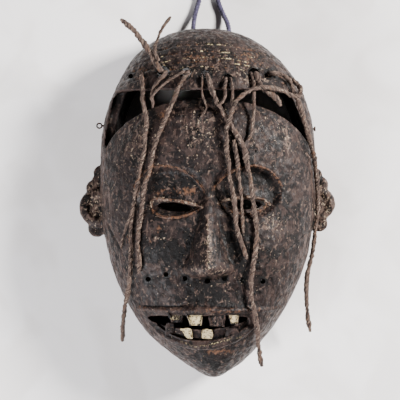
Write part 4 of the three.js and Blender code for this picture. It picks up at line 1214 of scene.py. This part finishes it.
def finish(name, base, layers, bumps, values, follows=None, shine=None):
    """A material on Object coordinates, or on the attribute that its pattern follows."""
    material = bpy.data.materials.new(name)
    material.use_nodes = True
    if follows:
        place = add_node(material, "ShaderNodeAttribute", {}, attribute_name=follows).outputs["Vector"]
    else:
        place = add_node(material, "ShaderNodeTexCoord", {}).outputs["Object"]
    shader = material.node_tree.nodes["Principled BSDF"]
    links = material.node_tree.links
    links.new(layered(material, place, base, layers), shader.inputs["Base Color"])
    if bumps:
        links.new(bumpy(material, place, bumps), shader.inputs["Normal"])
    if shine:
        links.new(patchy_shine(material, place, *shine), shader.inputs["Roughness"])
    for socket, value in values.items():
        shader.inputs[socket].default_value = value
    print(name, "has", len(material.node_tree.nodes), "nodes")
    return material


def dress(piece, material):
    piece.data.materials.clear()
    piece.data.materials.append(material)


# %% [markdown]
# The wood is a light African hardwood, blackened with soot and oil and then worn by hands. What shows
# is dark brown with a dull sheen, lighter streaks along the grain, tan on the edges, and specks of
# dust. Red earth marks the brows and rims, and white clay the teeth. A pale streak along the nose's
# crest is a painted highlight, and near-black beside and under the nose, under the hood's lip, in the
# holes and inside the mask is painted shade.

# %% Aged carved wood
wood = finish(
    "aged_carved_wood",
    "#1c1413",
    [
        ("#0d0909", (14, 18, 14), None, 0, 0.44, 0.56),
        ("#2e2320", (9, 10, 9), None, 0, 0.5, 0.62),
        ("#42342e", (5, 6, 5), None, 0, 0.6, 0.72),
        ("#473832", (2, 12, 2), "side", 0.12, 0.6, 0.74),
        ("#3e302b", (2, 2.6, 2), "edge", 0.45, 0.78, 1),
        # Near-black: soot on the cheeks and chin, darker eye sockets, and painted shade beside and under the nose,
        # under the hood's lip and in the holes.
        ("#070505", (6, 7, 6), "soot", 0.4, 0.6, 0.78),
        ("#050404", (1.4, 2.2, 1.4), "cavity", 0.4, 0.6, 0.74),
        ("#5b3f2e", (2, 3, 2), "earth", 0.5, 0.7, 1),
        # Dust in two sizes of speck; where the number marks the nose's crest, these paint a highlight.
        ("#56463e", (3.5, 4.5, 3.5), "dust", 0.22, 0.6, 0.76),
        ("#8d7c6a", (1.5, 2, 1.5), "dust", 0.16, 0.67, 0.77),
        # White clay on the teeth, the hood's nicks and the lower lip, and a painted highlight along the nose's crest.
        ("#b9a983", (1.3, 1.3, 1.3), "clay", 0.75, 0.82, 1.08),
        ("#4d3a28", (1.7, 1.7, 1.7), "clay", 0.3, 0.78, 0.9),
        # Inside and on the back: darker raw wood, made near-black as painted shade in the hollow.
        ("#15100e", (5, 9, 5), "back", 1, 1.1, 1.5),
    ],
    [((6, 8, 6), 1), ((2.4, 3.2, 2.4), 0.7), ((1, 1.5, 1), 0.2)],
    {"Specular IOR Level": 0.17},
    shine=((4, 5, 4), 0.36, 0.7),
)
dress(mask, wood)

# %% [markdown]
# The strands are dry bark: matt, grey-brown, with long fibres that follow the twist. Their pattern is
# laid on the attribute that was stored with the rings, round the strand and along it. The dark in the
# pinch between the two plies is painted shade.

# %% Dry bark and the string
bark = finish(
    "dry_bark_fibre",
    "#4b3c35",
    [
        ("#241a16", (900, 900, 8), None, 0, 0.49, 0.58),
        ("#5d4230", (900, 900, 18), None, 0, 0.6, 0.7),
        ("#766356", (700, 700, 3.2), None, 0, 0.56, 0.66),
        # Painted shade in the pinch between the two plies.
        ("#15100d", (600, 600, 4), "groove", 2, 0.7, 0.95),
        ("#8f8170", (500, 500, 2), None, 0, 0.64, 0.7),
    ],
    [((500, 500, 3), 0.6)],
    {"Roughness": 0.85, "Specular IOR Level": 0.3},
    follows="fibre",
)
for strand in strands:
    dress(strand, bark)
dyed = finish(
    "dyed_cotton_braid",
    "#403a54",
    [("#262137", (700, 700, 2.4), None, 0, 0.47, 0.56), ("#6b6482", (700, 700, 2), None, 0, 0.57, 0.68)],
    [((400, 400, 0.8), 0.2)],
    {"Roughness": 0.9, "Sheen Weight": 0.2},
    follows="fibre",
)
dress(string, dyed)

# %% [markdown]
# The two small pins are old iron wire. Rust has dulled them, so they are dark brown with little shine.

# %% Rusted iron
iron = finish(
    "rusted_iron_wire",
    "#2e2928",
    [("#5d3826", (0.8, 0.8, 0.8), None, 0, 0.5, 0.62)],
    [((0.5, 0.5, 0.5), 0.08)],
    {"Roughness": 0.7, "Metallic": 0.6},
)
for name in ("pin_left", "pin_right"):
    dress(bpy.data.objects[name], iron)

# %% [markdown]
# A plain pale floor, and soft light from two large lamps: the stronger one from the upper right.

# %% Floor and lights
FLOOR_GAP = 0.0005
bm = bmesh.new()
bmesh.ops.create_grid(bm, x_segments=1, y_segments=1, size=1.5)
bmesh.ops.translate(bm, vec=(0, 0, -FLOOR_GAP), verts=bm.verts)
floor = solid("floor", bm)
board = finish("pale_board", "#f3f0ef", [("#e9e5e3", (60, 60, 60), None, 0, 0.45, 0.65)], [], {"Roughness": 0.9})
dress(floor, board)


def area_lamp(name, place, target, size, power, colour):
    lamp = bpy.data.objects.new(name, bpy.data.lights.new(name, "AREA"))
    lamp.data.size = size
    lamp.data.energy = power
    lamp.data.color = colour
    lamp.location = place
    lamp.rotation_euler = (Vector(target) - Vector(place)).to_track_quat("-Z", "Y").to_euler()
    bpy.context.scene.collection.objects.link(lamp)


area_lamp("key", (1.16, 0.5, 0.95), (0, 0, 0.04), 0.34, 88, (1, 0.98, 0.96))
area_lamp("fill", (-0.9, -0.9, 0.8), (0, 0, 0.04), 0.8, 54, (0.97, 0.97, 1))
world = bpy.data.worlds.new("studio")
world.use_nodes = True
world.node_tree.nodes["Background"].inputs["Strength"].default_value = 0.5
bpy.context.scene.world = world
